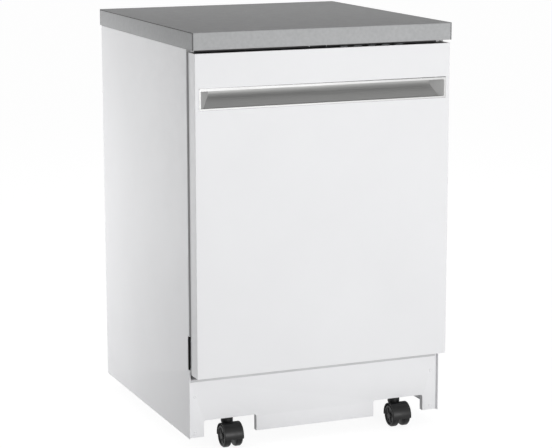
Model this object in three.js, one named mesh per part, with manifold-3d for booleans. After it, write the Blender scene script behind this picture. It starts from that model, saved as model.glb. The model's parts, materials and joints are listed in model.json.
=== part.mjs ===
// A full-size portable dishwasher: a steel cabinet on four casters, with a fold-down door.
// Millimetres. X runs across the front, Y runs from the front to the rear, Z is up.
// Everything is drawn with Y = 0 on the cabinet's front plane and moved to the centre at the end.

import * as THREE from "three";
import { mergeVertices } from "three/addons/utils/BufferGeometryUtils.js";
import Module from "manifold-3d";

const wasm = await Module();
wasm.setup();

// ---------------------------------------------------------------- driving dimensions

const cabinetWidth = 622;
const cabinetDepth = 611;
const cabinetHeight = 908;
const groundClearance = 30;
const gap = 0.3;
const sheet = 1.2;
const gridPerMillimetre = 256;

const worktopThickness = 39;
const worktopFrontOverhang = 41;
const worktopRearOverhang = 10.6;

const doorSideGap = 4.3;
const doorTopGap = 7;
const doorBackGap = 2;
const doorThickness = 40.4;
const doorBottom = 179;
const pivotAboveDoorBottom = 70;
const kickSweepGap = 1.8;

const flangeWidth = 18;
const flangeStub = 3.3;
const notchAbovePivot = 19;
const notchBelowPivot = 59;
const notchDepth = 8;

const kickSetback = 8;
const kickReturn = 13;
const kickShelf = 25;
const handNotchWidth = 127;
const handNotchOffCaster = 0.5;
const handNotchTop = 68;
const handNotchRadius = 5;

const wheelRadius = 26.5;
const wheelWidth = 16.5;
const wheelSpacing = 12;
const wheelTrail = 22;
const wheelFacets = 28;
const axleRadius = 3;
const hoodGap = 1.2;
const hoodWall = 2.3;
const hoodSides = 24;
const collarRadius = 14;
const collarHeight = 11;
const neckRadius = 9;
const neckHeight = 2;
const stemRadius = 5;
const stemLength = 30;
const socketHeight = 5;
const socketSize = 27;
const casterInsetX = 101;
const casterInsetFront = 32;
const casterInsetRear = 62;

const frameHeight = 40;
const frameBeam = 70;
const frameWall = 2;
const topFrameHeight = 22.4;
const topFrameBeam = 35;
const postSize = 20;
const postWall = 2.5;
const postInset = 105;

const tubWall = 1;
const tubSideSpace = 31;
const tubRearSpace = 41;
const tubFrontInset = 9.5;
const tubHeadroom = 15;
const lipAbovePivot = 13;
const panDepth = 5.5;
const panInset = 30;
const sumpOpening = 75;
const tubFlangeWidth = 22;

const linerClearance = 6;
const linerWall = 1;
const gasketWidth = 10;

const pocketFromDoorSide = 9.2;
const pocketHeight = 48.5;
const pocketTopBelowDoorTop = 75.5;
const pocketDepth = 28;
const pocketRim = 4;
const pocketLip = 6;
const pocketWall = 2;
const pocketFrontStep = 9;
const pocketUprightBack = 11;
const gripRise = 12;
const gripLip = 5;

const consoleHeight = 17;
const consoleWall = 1.8;
const buttonCount = 5;
const buttonPitch = 34;
const buttonWidth = 18;
const buttonDepth = 10;
const buttonProud = 1.6;
const buttonTravel = 1.5;
const buttonRowCentre = 120;
const latchAboveConsole = 8;

const dispenserWidth = 150;
const dispenserHeight = 110;
const dispenserDepth = 30;
const dispenserAbovePivot = 276;
const cupSize = 55;
const capRadius = 14;

const armThickness = 4;
const pivotPinRadius = 4;
const earRadius = 10;
const bracketOffset = 17;

const rackWheelRadius = 16;
const rackWheelWidth = 10;
const lowerRackAboveLip = 38;
const lowerRackHeight = 130;
const upperRackBelowTubTop = 170.3;
const upperRackHeight = 112;
const rackWire = 4;
const rackSideGap = 29;
const rackRearGap = 24;
const lowerRackFront = 112;
const upperRackFront = 75;
const lowerRackInset = 8;
const upperRackInset = 4;
const lowerWheelFromFront = 133;
const lowerWheelFromRear = 61;
const lowerAxleRadius = 3.5;
const wheelFromTubSide = 24;
const rollerFromFront = 55;
const rollerFromRear = 46;
const rollerPlay = 0.4;
const railHeight = 27;
const railAboveUpperFloor = 32;
const trackWall = 1.5;
const trackPlay = 1;
const trackDepth = 7;
const trackBeforeRack = 45;

const cutleryWidth = 135;
const cutleryLength = 90;
const cutleryHeight = 120;
const cutleryWall = 2;
const cutleryCells = 3;
const cutleryFromSide = 28;
const cutleryFromFront = 28;

const sprayBehindMiddle = 10.25;
const lowerArmMargin = 46.5;
const middleArmMargin = 78.5;
const armAbovePan = 20;
const armPostRadius = 8;
const bladeThickness = 11;
const bladeTip = 12;
const bladeRoot = 22;
const bladeRootReach = 60;
const tubeRadius = 8;
const showerRadius = 34;
const showerHeight = 30;

const sumpRadius = 80;
const sumpRim = 90;
const sumpDepth = 72;
const heaterReach = 190;
const heaterCorner = 40;
const heaterRodRadius = 4;
const heaterAbovePan = 9;

const bayHalf = 150;
const bayWall = 2;
const bayDepth = 108;
const glandX = 70;
const cordGlandRadius = 12;
const hoseGlandRadius = 18;
const valveX = 215;
const valveSize = 40;

// ---------------------------------------------------------------- places worked out from them

const halfWidth = cabinetWidth / 2;
const innerHalf = halfWidth - sheet;
const fitHalf = innerHalf - gap;
const doorHalf = halfWidth - doorSideGap;
const doorTop = cabinetHeight - doorTopGap;
const doorBack = -doorBackGap;
const doorFront = doorBack - doorThickness;
const pivotZ = doorBottom + pivotAboveDoorBottom;
const kickTop = pivotZ - Math.hypot(doorFront, pivotAboveDoorBottom) - kickSweepGap;
const hoodTop = 2 * wheelRadius + hoodGap + hoodWall;
const collarTop = hoodTop + collarHeight;
const neckTop = collarTop + neckHeight;
const socketBottom = neckTop + gap;
const frameBottom = socketBottom + socketHeight;
const frameTop = frameBottom + frameHeight;
const frameFront = kickSetback + sheet + kickReturn + gap;
const rearPanelFront = cabinetDepth - sheet;
const rearFlangeFront = rearPanelFront - gap - sheet;
const frameRear = rearFlangeFront - gap;
const topFrameBottom = cabinetHeight - gap - topFrameHeight;
const tubHalf = halfWidth - tubSideSpace;
const tubRear = cabinetDepth - tubRearSpace;
const tubTop = topFrameBottom - tubHeadroom;
const lipZ = pivotZ + lipAbovePivot;
const panFloor = lipZ - panDepth;
const panHalf = tubHalf - panInset;
const panFront = tubFrontInset + 15;
const panRear = tubRear - 10;
const linerFace = lipAbovePivot;
const linerHalf = tubHalf - tubWall - linerClearance;
const armZoneHalf = linerHalf - 2;
const linerTop = tubTop - tubWall - linerClearance;
const linerBottom = lipZ + 4;
const pocketHalf = doorHalf - pocketFromDoorSide;
const pocketTop = doorTop - pocketTopBelowDoorTop;
const consoleBottom = doorTop - consoleHeight;
const casterX = halfWidth - casterInsetX;
const handNotchCentre = casterX + handNotchOffCaster;
const casterRearY = cabinetDepth - casterInsetRear;
const wheelOuter = wheelSpacing / 2 + wheelWidth;
const armInner = linerHalf + 12;
const bracketInner = halfWidth - bracketOffset - armThickness;
const rackHalf = tubHalf - rackSideGap;
const rackRear = tubRear - rackRearGap;
const lowerRackHalf = rackHalf - lowerRackInset;
const upperRackHalf = rackHalf - upperRackInset;
const lowerRackFloor = lipZ + lowerRackAboveLip;
const lowerRackRim = lowerRackFloor + lowerRackHeight;
const upperRackRim = tubTop - upperRackBelowTubTop;
const upperRackFloor = upperRackRim - upperRackHeight;
const lowerWheelPlaces = [lowerRackFront + lowerWheelFromFront, rackRear - lowerWheelFromRear];
const lowerWheelX = tubHalf - wheelFromTubSide;
const lowerAxleZ = lipZ + gap + rackWheelRadius;
const upperRollerPlaces = [upperRackFront + rollerFromFront, rackRear - rollerFromRear];
const railCentreZ = upperRackFloor + railAboveUpperFloor;
const trackOuter = tubHalf - tubWall - gap;
const trackFront = upperRackFront - trackBeforeRack;
const trackRear = rackRear - 2;
const sprayCentreY = (tubFrontInset + tubRear) / 2 + sprayBehindMiddle;
const sprayRoom = Math.min(tubHalf, (tubRear - linerFace) / 2);
const lowerArmReach = sprayRoom - lowerArmMargin;
const middleArmReach = sprayRoom - middleArmMargin;
const armLevel = panFloor + armAbovePan;
const tubeCentreZ = tubTop - tubWall - gap - tubeRadius;
const bayBottom = frameTop + 2 * bayWall + gap;
const bayTop = panFloor - tubWall - 2 * bayWall - 6;
const bayBack = rearPanelFront - gap - bayDepth;
const latchZ = consoleBottom + latchAboveConsole;
const dispenserFloor = pivotZ + dispenserAbovePivot - dispenserHeight / 2;
const dispenserFace = linerFace + gap;
const dispenserFlange = 2;
const cupLeft = -dispenserWidth / 2 + 12;
const cupBottom = dispenserFloor + 10;
const capX = dispenserWidth / 2 - 34;
const capZ = dispenserFloor + dispenserHeight - 22;

// ---------------------------------------------------------------- shape helpers

// Corners are put on a fine grid, so that faces meant to be flush lie in exactly one plane.
function toSolid(geometry) {
  const bare = geometry.clone();
  bare.deleteAttribute("normal");
  bare.deleteAttribute("uv");
  const places = bare.attributes.position.array;
  for (let i = 0; i < places.length; i += 1) {
    places[i] = Math.round(places[i] * gridPerMillimetre) / gridPerMillimetre;
  }
  const merged = mergeVertices(bare, 1e-4);
  const vertProperties = new Float32Array(merged.attributes.position.array);
  const triVerts = new Uint32Array(merged.index.array);
  return new wasm.Manifold(new wasm.Mesh({ numProp: 3, vertProperties, triVerts }));
}

function toGeometry(solid) {
  const mesh = solid.getMesh();
  const geometry = new THREE.BufferGeometry();
  geometry.setAttribute("position", new THREE.BufferAttribute(mesh.vertProperties, 3));
  geometry.setIndex(new THREE.BufferAttribute(mesh.triVerts, 1));
  geometry.computeVertexNormals();
  return geometry;
}

function box(x0, x1, y0, y1, z0, z1) {
  const geometry = new THREE.BoxGeometry(Math.abs(x1 - x0), y1 - y0, z1 - z0);
  geometry.translate((x0 + x1) / 2, (y0 + y1) / 2, (z0 + z1) / 2);
  return toSolid(geometry);
}

function extrude(shape, depth) {
  return new THREE.ExtrudeGeometry(shape, { depth, bevelEnabled: false, curveSegments: 4 });
}

function outline(points) {
  return new THREE.Shape(points.map(([u, v]) => new THREE.Vector2(u, v)));
}

// An outline in X and Y, raised from z0 to z1.
function prismZ(shape, z0, z1) {
  const geometry = extrude(shape, z1 - z0);
  geometry.translate(0, 0, z0);
  return toSolid(geometry);
}

// An outline in X and Z, swept from y0 to y1.
function prismY(shape, y0, y1) {
  const geometry = extrude(shape, y1 - y0);
  geometry.rotateX(Math.PI / 2);
  geometry.translate(0, y1, 0);
  return toSolid(geometry);
}

// An outline in Y and Z, swept between x0 and x1, in either order.
function prismX(shape, x0, x1) {
  const geometry = extrude(shape, Math.abs(x1 - x0));
  const turn = new THREE.Matrix4().set(0, 0, 1, 0, 1, 0, 0, 0, 0, 1, 0, 0, 0, 0, 0, 1);
  geometry.applyMatrix4(turn);
  geometry.translate(Math.min(x0, x1), 0, 0);
  return toSolid(geometry);
}

function roundedRect(u0, u1, v0, v1, radius) {
  const shape = new THREE.Shape();
  shape.moveTo(u0 + radius, v0);
  shape.lineTo(u1 - radius, v0);
  shape.absarc(u1 - radius, v0 + radius, radius, -Math.PI / 2, 0);
  shape.lineTo(u1, v1 - radius);
  shape.absarc(u1 - radius, v1 - radius, radius, 0, Math.PI / 2);
  shape.lineTo(u0 + radius, v1);
  shape.absarc(u0 + radius, v1 - radius, radius, Math.PI / 2, Math.PI);
  shape.lineTo(u0, v0 + radius);
  shape.absarc(u0 + radius, v0 + radius, radius, Math.PI, 1.5 * Math.PI);
  return shape;
}

function cylinderGeometry(radius, length, sides) {
  const half = Math.PI / sides;
  return new THREE.CylinderGeometry(radius, radius, length, sides, 1, false, half);
}

function cylinderZ(x, y, z0, z1, radius, sides = 20) {
  const geometry = cylinderGeometry(radius, z1 - z0, sides);
  geometry.rotateX(Math.PI / 2);
  geometry.translate(x, y, (z0 + z1) / 2);
  return toSolid(geometry);
}

function cylinderX(x0, x1, y, z, radius, sides = 20) {
  const geometry = cylinderGeometry(radius, Math.abs(x1 - x0), sides);
  geometry.rotateZ(Math.PI / 2);
  geometry.rotateX(Math.PI / 2);
  geometry.translate((x0 + x1) / 2, y, z);
  return toSolid(geometry);
}

// A profile of [radius, height] pairs that goes up the outside, turned about an upright axis.
function latheZ(x, y, profile, sides = 24) {
  const points = profile.map(([radius, height]) => new THREE.Vector2(radius, height));
  const geometry = new THREE.LatheGeometry(points, sides);
  geometry.rotateX(Math.PI / 2);
  geometry.translate(x, y, 0);
  return toSolid(geometry);
}

// The same, turned about an axis that runs from front to rear.
function latheY(x, z, profile, sides = 20) {
  const points = profile.map(([radius, depth]) => new THREE.Vector2(radius, depth));
  const geometry = new THREE.LatheGeometry(points, sides);
  geometry.translate(x, 0, z);
  return toSolid(geometry);
}

// The same, turned about an axis across the machine; side is +1 or -1.
function latheX(side, y, z, profile, sides = 24) {
  const points = profile.map(([radius, reach]) => new THREE.Vector2(radius, reach));
  const geometry = new THREE.LatheGeometry(points, sides);
  geometry.rotateZ(-side * Math.PI / 2);
  geometry.translate(0, y, z);
  return toSolid(geometry);
}

function circleShape(radius, sides) {
  const points = [];
  for (let i = 0; i < sides; i += 1) {
    const angle = (2 * Math.PI * i) / sides;
    points.push([radius * Math.cos(angle), radius * Math.sin(angle)]);
  }
  return outline(points);
}

// A round rod along a smooth line through the given points.
function rod(points, radius, steps, sides = 8) {
  const curve = new THREE.CatmullRomCurve3(points, false, "catmullrom", 0.1);
  const options = { steps, bevelEnabled: false, extrudePath: curve };
  return toSolid(new THREE.ExtrudeGeometry(circleShape(radius, sides), options));
}

function joinAll(solids) {
  return solids.reduce((sum, next) => sum.add(next));
}

// ---------------------------------------------------------------- finishes and the scene

function finish(color, roughness, metalness) {
  return () => new THREE.MeshStandardMaterial({ color, roughness, metalness });
}

const whitePaint = finish(0xe8e9ea, 0.35, 0);
const greyLaminate = finish(0x9d9fa1, 0.4, 0);
const stainless = finish(0xb9bcbf, 0.3, 0.9);
const brushedMetal = finish(0xc4c6c8, 0.35, 0.85);
const zincSteel = finish(0xa6a9ab, 0.45, 0.8);
const blackPlastic = finish(0x1b1b1c, 0.5, 0);
const greyPlastic = finish(0x8c9094, 0.5, 0);
const whitePlastic = finish(0xe6e6e4, 0.45, 0);
const blackRubber = finish(0x202020, 0.8, 0);
const rackNylon = finish(0x8a8f96, 0.5, 0);
const copperSheath = finish(0x6d6a66, 0.4, 0.7);

const machine = new THREE.Group();

function addPiece(parent, name, solid, material) {
  const mesh = new THREE.Mesh(toGeometry(solid), material());
  mesh.name = name;
  parent.add(mesh);
  return mesh;
}

// ---------------------------------------------------------------- outer casing

function worktop() {
  const edge = 1.5;
  const rear = cabinetDepth + worktopRearOverhang;
  const top = cabinetHeight + worktopThickness;
  const section = outline([
    [-halfWidth, cabinetHeight],
    [halfWidth, cabinetHeight],
    [halfWidth, top - edge],
    [halfWidth - edge, top],
    [-halfWidth + edge, top],
    [-halfWidth, top - edge],
  ]);
  return prismY(section, -worktopFrontOverhang, rear);
}

// A folded sheet: the outer wall with a front flange and a rear flange turned inwards.
function sidePanel(side) {
  const top = cabinetHeight - gap;
  const notchTop = pivotZ + notchAbovePivot;
  const notchBottom = pivotZ - notchBelowPivot;
  const flange = halfWidth - flangeWidth;
  const wall = box(side * innerHalf, side * halfWidth, 0, cabinetDepth, groundClearance, top);
  const front = box(side * flange, side * halfWidth, 0, sheet, notchTop, top);
  const stub = box(side * (halfWidth - flangeStub), side * halfWidth, 0, sheet, kickTop, notchBottom);
  const rearInner = side * (halfWidth - flangeWidth);
  const rear = box(rearInner, side * halfWidth, rearFlangeFront, rearPanelFront - gap, groundClearance, top);
  const mouth = roundedRect(-notchDepth, notchDepth, notchBottom, notchTop, 3);
  const notch = prismX(mouth, side * flange, side * (halfWidth + 1));
  return joinAll([wall, front, stub, rear]).subtract(notch);
}

function hoseBayBox(margin, y0, y1) {
  const half = bayHalf + margin;
  return box(-half, half, y0, y1, bayBottom - margin, bayTop + margin);
}

function rearPanel() {
  const plate = box(-fitHalf, fitHalf, rearPanelFront, cabinetDepth, groundClearance, cabinetHeight - gap);
  return plate.subtract(hoseBayBox(0, rearPanelFront - 1, cabinetDepth + 1));
}

function hoseBay() {
  const rim = rearPanelFront - gap;
  const outer = hoseBayBox(bayWall, bayBack, rim);
  return outer.subtract(hoseBayBox(0, bayBack + bayWall, rim + 1));
}

function gland(x, radius) {
  const seat = bayBack + bayWall + gap;
  const z = (bayBottom + bayTop) / 2;
  const profile = [
    [0, seat],
    [radius, seat],
    [radius, seat + 3],
    [radius * 0.7, seat + 4],
    [radius * 0.55, seat + 16],
    [radius * 0.4, seat + 16],
    [radius * 0.4, seat + 2],
    [0, seat + 2],
  ];
  return latheY(x, z, profile, 16);
}

// ---------------------------------------------------------------- frames and kick panel

function ring(half, y0, y1, z0, z1, beam) {
  const outer = box(-half, half, y0, y1, z0, z1);
  return outer.subtract(box(-half + beam, half - beam, y0 + beam, y1 - beam, z0 - 1, z1 + 1));
}

function channelRing(half, y0, y1, z0, z1, beam, wall) {
  const full = ring(half, y0, y1, z0, z1, beam);
  const cut = ring(half - wall, y0 + wall, y1 - wall, z0 + wall, z1 + 1, beam - 2 * wall);
  return full.subtract(cut);
}

function casterPlaces() {
  const places = [];
  for (const [row, y] of [["front", casterInsetFront], ["rear", casterRearY]]) {
    for (const [hand, side] of [["left", -1], ["right", 1]]) {
      places.push({ name: `${row}_${hand}`, x: side * casterX, y });
    }
  }
  return places;
}

function baseFrame() {
  let frame = channelRing(fitHalf, frameFront, frameRear, frameBottom, frameTop, frameBeam, frameWall);
  const postOuter = tubHalf + 2;
  const postTop = lipZ - tubWall - gap;
  for (const side of [-1, 1]) {
    for (const y of [postInset, frameRear - postInset]) {
      const full = box(side * (postOuter - postSize), side * postOuter, y, y + postSize, frameBottom, postTop);
      const outer = side * (postOuter + 1);
      const inner = side * (postOuter - postSize + postWall);
      const hollow = box(inner, outer, y + postWall, y + postSize + 1, frameTop - frameWall, postTop + 1);
      frame = frame.add(full.subtract(hollow));
    }
  }
  const half = socketSize / 2;
  for (const { x, y } of casterPlaces()) {
    const block = box(x - half, x + half, y - half, y + half, socketBottom, frameBottom + frameWall);
    const sleeve = cylinderZ(x, y, socketBottom, socketBottom + stemLength + 5, stemRadius + 4, 16);
    const bore = cylinderZ(x, y, socketBottom - 1, socketBottom + stemLength + 1, stemRadius + gap, 16);
    frame = frame.add(block).add(sleeve).subtract(bore);
  }
  return frame;
}

function topFrame() {
  const wall = 1.5;
  const y0 = sheet + gap;
  return channelRing(fitHalf, y0, frameRear, topFrameBottom, cabinetHeight - gap, topFrameBeam, wall);
}

function doorStrike() {
  const plate = box(-20, 20, 0, sheet, latchZ - 6, latchZ + 14);
  const tongue = box(-10, 10, -12, sheet, latchZ - 1.5, latchZ + 1.5);
  return plate.add(tongue);
}

// A folded panel with a shelf along its top, which closes the gap behind the door's lower edge.
function kickPanel() {
  const front = kickSetback;
  const back = front + sheet + kickReturn;
  const half = fitHalf;
  const full = box(-half, half, front, back, groundClearance, kickTop);
  const inside = box(-half + sheet, half - sheet, front + sheet, back + 1, groundClearance - 1, kickTop - sheet);
  const shelf = box(-half, half, front, front + sheet + kickShelf, kickTop - sheet, kickTop);
  let panel = full.subtract(inside).add(shelf);
  for (const side of [-1, 1]) {
    const x0 = side * handNotchCentre - handNotchWidth / 2;
    const x1 = x0 + handNotchWidth;
    const below = groundClearance - 20;
    const radius = handNotchRadius;
    const collar = roundedRect(x0 - sheet, x1 + sheet, below, handNotchTop + sheet, radius + sheet);
    const floor = box(x0 - 2, x1 + 2, front - 1, back + 1, below - 1, groundClearance);
    const mouth = roundedRect(x0, x1, below, handNotchTop, radius);
    const sleeve = prismY(collar, front, back).subtract(floor);
    panel = panel.add(sleeve).subtract(prismY(mouth, front - 1, back + 1));
  }
  return panel;
}

// ---------------------------------------------------------------- wash chamber

function tub() {
  const wall = tubWall;
  const back = tubRear;
  const shell = box(-tubHalf, tubHalf, tubFrontInset - sheet, back, lipZ - wall, tubTop);
  const pan = box(-panHalf, panHalf, panFront, panRear, panFloor - wall, lipZ);
  const inHalf = tubHalf - wall;
  const room = box(-inHalf, inHalf, tubFrontInset - sheet - 1, back - wall, lipZ, tubTop - wall);
  const panRoom = box(-panHalf + wall, panHalf - wall, panFront + wall, panRear - wall, panFloor, lipZ + 1);
  const flangeHalf = tubHalf + tubFlangeWidth;
  const flange = box(-flangeHalf, flangeHalf, tubFrontInset - sheet, tubFrontInset, lipZ + 2, topFrameBottom - gap);
  const drain = cylinderZ(0, sprayCentreY, panFloor - 5, panFloor + 5, sumpOpening, 28);
  return shell.add(pan).add(flange).subtract(room).subtract(panRoom).subtract(drain);
}

function tubGasket() {
  const inner = tubHalf + 1;
  const outer = inner + gasketWidth;
  const top = tubTop + 2;
  const bottom = lipZ + 4;
  const y0 = doorBack + gap + 1;
  const y1 = tubFrontInset - sheet - gap;
  const shape = outline([
    [-outer, bottom],
    [-inner, bottom],
    [-inner, top],
    [inner, top],
    [inner, bottom],
    [outer, bottom],
    [outer, top + gasketWidth],
    [-outer, top + gasketWidth],
  ]);
  return prismY(shape, y0, y1);
}

function sump() {
  const top = panFloor - tubWall - gap;
  const bottom = top - sumpDepth;
  const slope = 20;
  const profile = [
    [0, bottom],
    [sumpRadius - slope, bottom],
    [sumpRadius, bottom + slope],
    [sumpRadius, top - 3],
    [sumpRim, top - 3],
    [sumpRim, top],
    [sumpOpening, top],
    [sumpOpening, bottom + slope + 2],
    [sumpRadius - slope - 4, bottom + 4],
    [0, bottom + 4],
  ];
  return latheZ(0, sprayCentreY, profile, 28);
}

function filter() {
  const top = panFloor + gap;
  const bottom = top - 52;
  const profile = [
    [0, bottom],
    [60, bottom],
    [60, top],
    [sumpOpening + 4, top],
    [sumpOpening + 4, top + 2],
    [armPostRadius + 6, top + 2],
    [armPostRadius, top + 6],
    [armPostRadius, armLevel + 8],
    [0, armLevel + 8],
  ];
  return latheZ(0, sprayCentreY, profile, 28);
}

// A flat blade on a round hub; z0 is the blade's underside.
function sprayArm(reach, z0, hubBottom, hubTop, bore) {
  const tip = bladeTip;
  const root = bladeRoot;
  const shape = outline([
    [-reach, -tip],
    [-reach + 6, -tip - 4],
    [-bladeRootReach, -root],
    [bladeRootReach, -root],
    [reach - 6, -tip - 4],
    [reach, -tip],
    [reach, tip - 4],
    [reach - 6, tip],
    [bladeRootReach, root],
    [-bladeRootReach, root],
    [-reach + 6, tip],
    [-reach, tip - 4],
  ]);
  const blade = prismZ(shape, z0, z0 + bladeThickness).translate([0, sprayCentreY, 0]);
  const hub = cylinderZ(0, sprayCentreY, hubBottom, hubTop, 26, 24);
  const arm = blade.add(hub);
  if (bore === 0) {
    return arm;
  }
  return arm.subtract(cylinderZ(0, sprayCentreY, hubBottom - 1, hubTop - 3, bore, 20));
}

function washPump() {
  const reach = sumpRadius + gap;
  const profile = [
    [0, reach],
    [16, reach],
    [16, reach + 18],
    [44, reach + 20],
    [44, reach + 48],
    [37, reach + 50],
    [37, reach + 130],
    [12, reach + 134],
    [0, reach + 134],
  ];
  return latheX(1, sprayCentreY, panFloor - 55, profile, 24);
}

function drainPump() {
  const reach = sumpRadius + gap;
  const profile = [
    [0, reach],
    [10, reach],
    [10, reach + 15],
    [28, reach + 17],
    [28, reach + 45],
    [21, reach + 47],
    [21, reach + 85],
    [0, reach + 85],
  ];
  return latheX(-1, sprayCentreY, panFloor - 50, profile, 20);
}

function inletValve() {
  const y1 = rearPanelFront - gap;
  const z0 = frameTop + 25;
  const half = valveSize / 2;
  const body = box(-valveX - half, -valveX + half, y1 - valveSize, y1, z0, z0 + 45);
  const coil = cylinderZ(-valveX, y1 - half, z0 + 44, z0 + 72, 13, 16);
  return body.add(coil);
}

function heatingElement() {
  const reach = Math.min(heaterReach, lowerArmReach);
  const corner = heaterCorner;
  const z = panFloor + gap + heaterAbovePan;
  const rear = sprayCentreY + reach;
  const front = sprayCentreY - reach;
  const points = [
    [-30, rear + 12, z - 5],
    [-34, rear + 2, z],
    [-reach + corner, rear, z],
    [-reach, rear - corner, z],
    [-reach, front + corner, z],
    [-reach + corner, front, z],
    [reach - corner, front, z],
    [reach, front + corner, z],
    [reach, rear - corner, z],
    [reach - corner, rear, z],
    [34, rear + 2, z],
    [30, rear + 12, z - 5],
  ].map(([x, y, height]) => new THREE.Vector3(x, y, height));
  return rod(points, heaterRodRadius, 48, 6);
}

function floatDome() {
  const z = panFloor + gap;
  const profile = [
    [0, z],
    [20, z],
    [20, z + 18],
    [14, z + 25],
    [0, z + 27],
  ];
  return latheZ(-panHalf + 44, panFront + 38, profile, 20);
}

function feedTube() {
  const y = tubRear - tubWall - gap - tubeRadius;
  const bend = 24;
  const points = [
    [0, y, lipZ + 4],
    [0, y, (lipZ + tubeCentreZ) / 2],
    [0, y, tubeCentreZ - bend],
    [0, y - bend * 0.3, tubeCentreZ - bend * 0.3],
    [0, y - bend, tubeCentreZ],
    [0, (y + sprayCentreY) / 2, tubeCentreZ],
    [0, sprayCentreY + showerRadius + gap, tubeCentreZ],
  ].map(([x, depth, height]) => new THREE.Vector3(x, depth, height));
  return rod(points, tubeRadius, 24, 8);
}

function topShower() {
  const z1 = tubTop - tubWall - gap;
  const profile = [
    [0, z1 - showerHeight],
    [20, z1 - showerHeight],
    [showerRadius, z1 - 22],
    [showerRadius, z1 - 3],
    [20, z1],
    [0, z1],
  ];
  return latheZ(0, sprayCentreY, profile, 24);
}

// ---------------------------------------------------------------- door

function doorOuterPanel() {
  const front = doorFront;
  const tray = box(-doorHalf, doorHalf, front, doorBack, doorBottom, doorTop);
  const inside = doorHalf - sheet;
  const hollow = box(-inside, inside, front + sheet, doorBack + 1, doorBottom + sheet, doorTop + 1);
  const windowBottom = pocketTop - pocketHeight;
  const window = box(-pocketHalf, pocketHalf, front - 1, front + sheet + 1, windowBottom, pocketTop);
  return tray.subtract(hollow).subtract(window);
}

function doorInnerPanel() {
  const half = doorHalf - sheet - gap;
  const y0 = doorBack - sheet;
  const rimTop = consoleBottom - gap;
  const rim = box(-half, half, y0, doorBack, doorBottom + sheet + gap, rimTop);
  const plug = box(-linerHalf, linerHalf, y0, linerFace, linerBottom, linerTop);
  const in1 = linerHalf - linerWall;
  const hollow = box(-in1, in1, y0 - 1, linerFace - linerWall, linerBottom + linerWall, linerTop - linerWall);
  const fit = dispenserWidth / 2 + gap;
  const z0 = dispenserFloor - gap;
  const window = box(-fit, fit, 0, linerFace + 1, z0, z0 + dispenserHeight + 2 * gap);
  let panel = rim.add(plug).subtract(hollow).subtract(window);
  for (const side of [-1, 1]) {
    const corner = box(side * armZoneHalf, side * (half + 1), y0 - 1, doorBack + 1, doorBottom - 1, lipZ + 8);
    panel = panel.subtract(corner);
  }
  return panel;
}

// A scoop behind a flat rim. Its back slopes from a shallow bottom edge to the full depth near
// the top, its ends slope at 45 degrees, and fingers reach up behind the lip at the top.
function handlePocket() {
  const half = pocketHalf - gap;
  const top = pocketTop - gap;
  const bottom = pocketTop - pocketHeight + gap;
  const front = doorFront;
  const back = front + pocketDepth;
  const wall = pocketWall;
  const mouthHalf = half - pocketRim;
  const reach = pocketDepth - wall;
  const deepHalf = mouthHalf - reach;
  const outer = outline([
    [-half, front],
    [half, front],
    [half, front + wall],
    [deepHalf + 2 * wall, back],
    [-deepHalf - 2 * wall, back],
    [-half, front + wall],
  ]);
  const mouth = outline([
    [-mouthHalf - 1, front - 1],
    [mouthHalf + 1, front - 1],
    [deepHalf, front + reach],
    [-deepHalf, front + reach],
  ]);
  const sill = bottom + pocketRim;
  const head = top - pocketLip;
  const bend = head - pocketUprightBack;
  const shell = outline([
    [front, bottom],
    [front + pocketFrontStep + wall, bottom],
    [back, bend - wall],
    [back, top],
    [front, top],
  ]);
  const scoop = outline([
    [front - 1, sill],
    [front + pocketFrontStep, sill],
    [front + reach, bend],
    [front + reach, head],
    [front - 1, head],
  ]);
  const body = prismZ(outer, bottom, top).intersect(prismX(shell, -half, half));
  const lipBack = front + sheet + gripLip;
  const gripTop = top + gripRise;
  const crown = box(-deepHalf - wall, deepHalf + wall, lipBack - wall, back, top - gripLip, gripTop);
  const room = prismZ(mouth, bottom, top).intersect(prismX(scoop, -half, half));
  const grip = box(-deepHalf, deepHalf, lipBack, front + reach, head - 2, gripTop - wall);
  return body.add(crown).subtract(room).subtract(grip);
}

function buttonX(index) {
  return (index - (buttonCount - 1) / 2) * buttonPitch + buttonRowCentre;
}

function controlConsole() {
  const half = doorHalf - sheet - gap;
  const y0 = doorFront + sheet + gap;
  const y1 = doorBack;
  const top = doorTop - gap;
  const full = box(-half, half, y0, y1, consoleBottom, top);
  const wall = consoleWall;
  const inside = box(-half + wall, half - wall, y0 + wall, y1 - wall, consoleBottom - 1, top - wall);
  let body = full.subtract(inside);
  body = body.subtract(box(-14, 14, y1 - wall - 1, y1 + 1, latchZ - 4, latchZ + 4));
  for (let i = 0; i < buttonCount; i += 1) {
    const x = buttonX(i);
    const w = buttonWidth / 2 + gap;
    const d = buttonDepth / 2 + gap;
    const y = (y0 + y1) / 2;
    body = body.subtract(box(x - w, x + w, y - d, y + d, top - wall - 1, top + 1));
  }
  return body;
}

function button() {
  const top = doorTop - gap + buttonProud;
  const shoulder = doorTop - gap - consoleWall - buttonTravel - gap;
  const w = buttonWidth / 2;
  const d = buttonDepth / 2;
  const cap = box(-w, w, -d, d, shoulder - 1, top);
  const skirt = box(-w - 1.5, w + 1.5, -d - 1.5, d + 1.5, shoulder - 3, shoulder + buttonTravel - gap);
  const stem = box(-2.5, 2.5, -2.5, 2.5, shoulder - 8, shoulder - 2);
  return cap.add(skirt).add(stem);
}

function doorLatch() {
  const z0 = consoleBottom + 1;
  const z1 = doorTop - gap - consoleWall - gap;
  const y1 = doorBack - consoleWall - gap;
  const y0 = y1 - 18;
  const body = box(-24, 24, y0, y1, z0, z1);
  return body.subtract(box(-13, 13, y0 + 4, y1 + 1, latchZ - 3.5, latchZ + 3.5));
}

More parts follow.
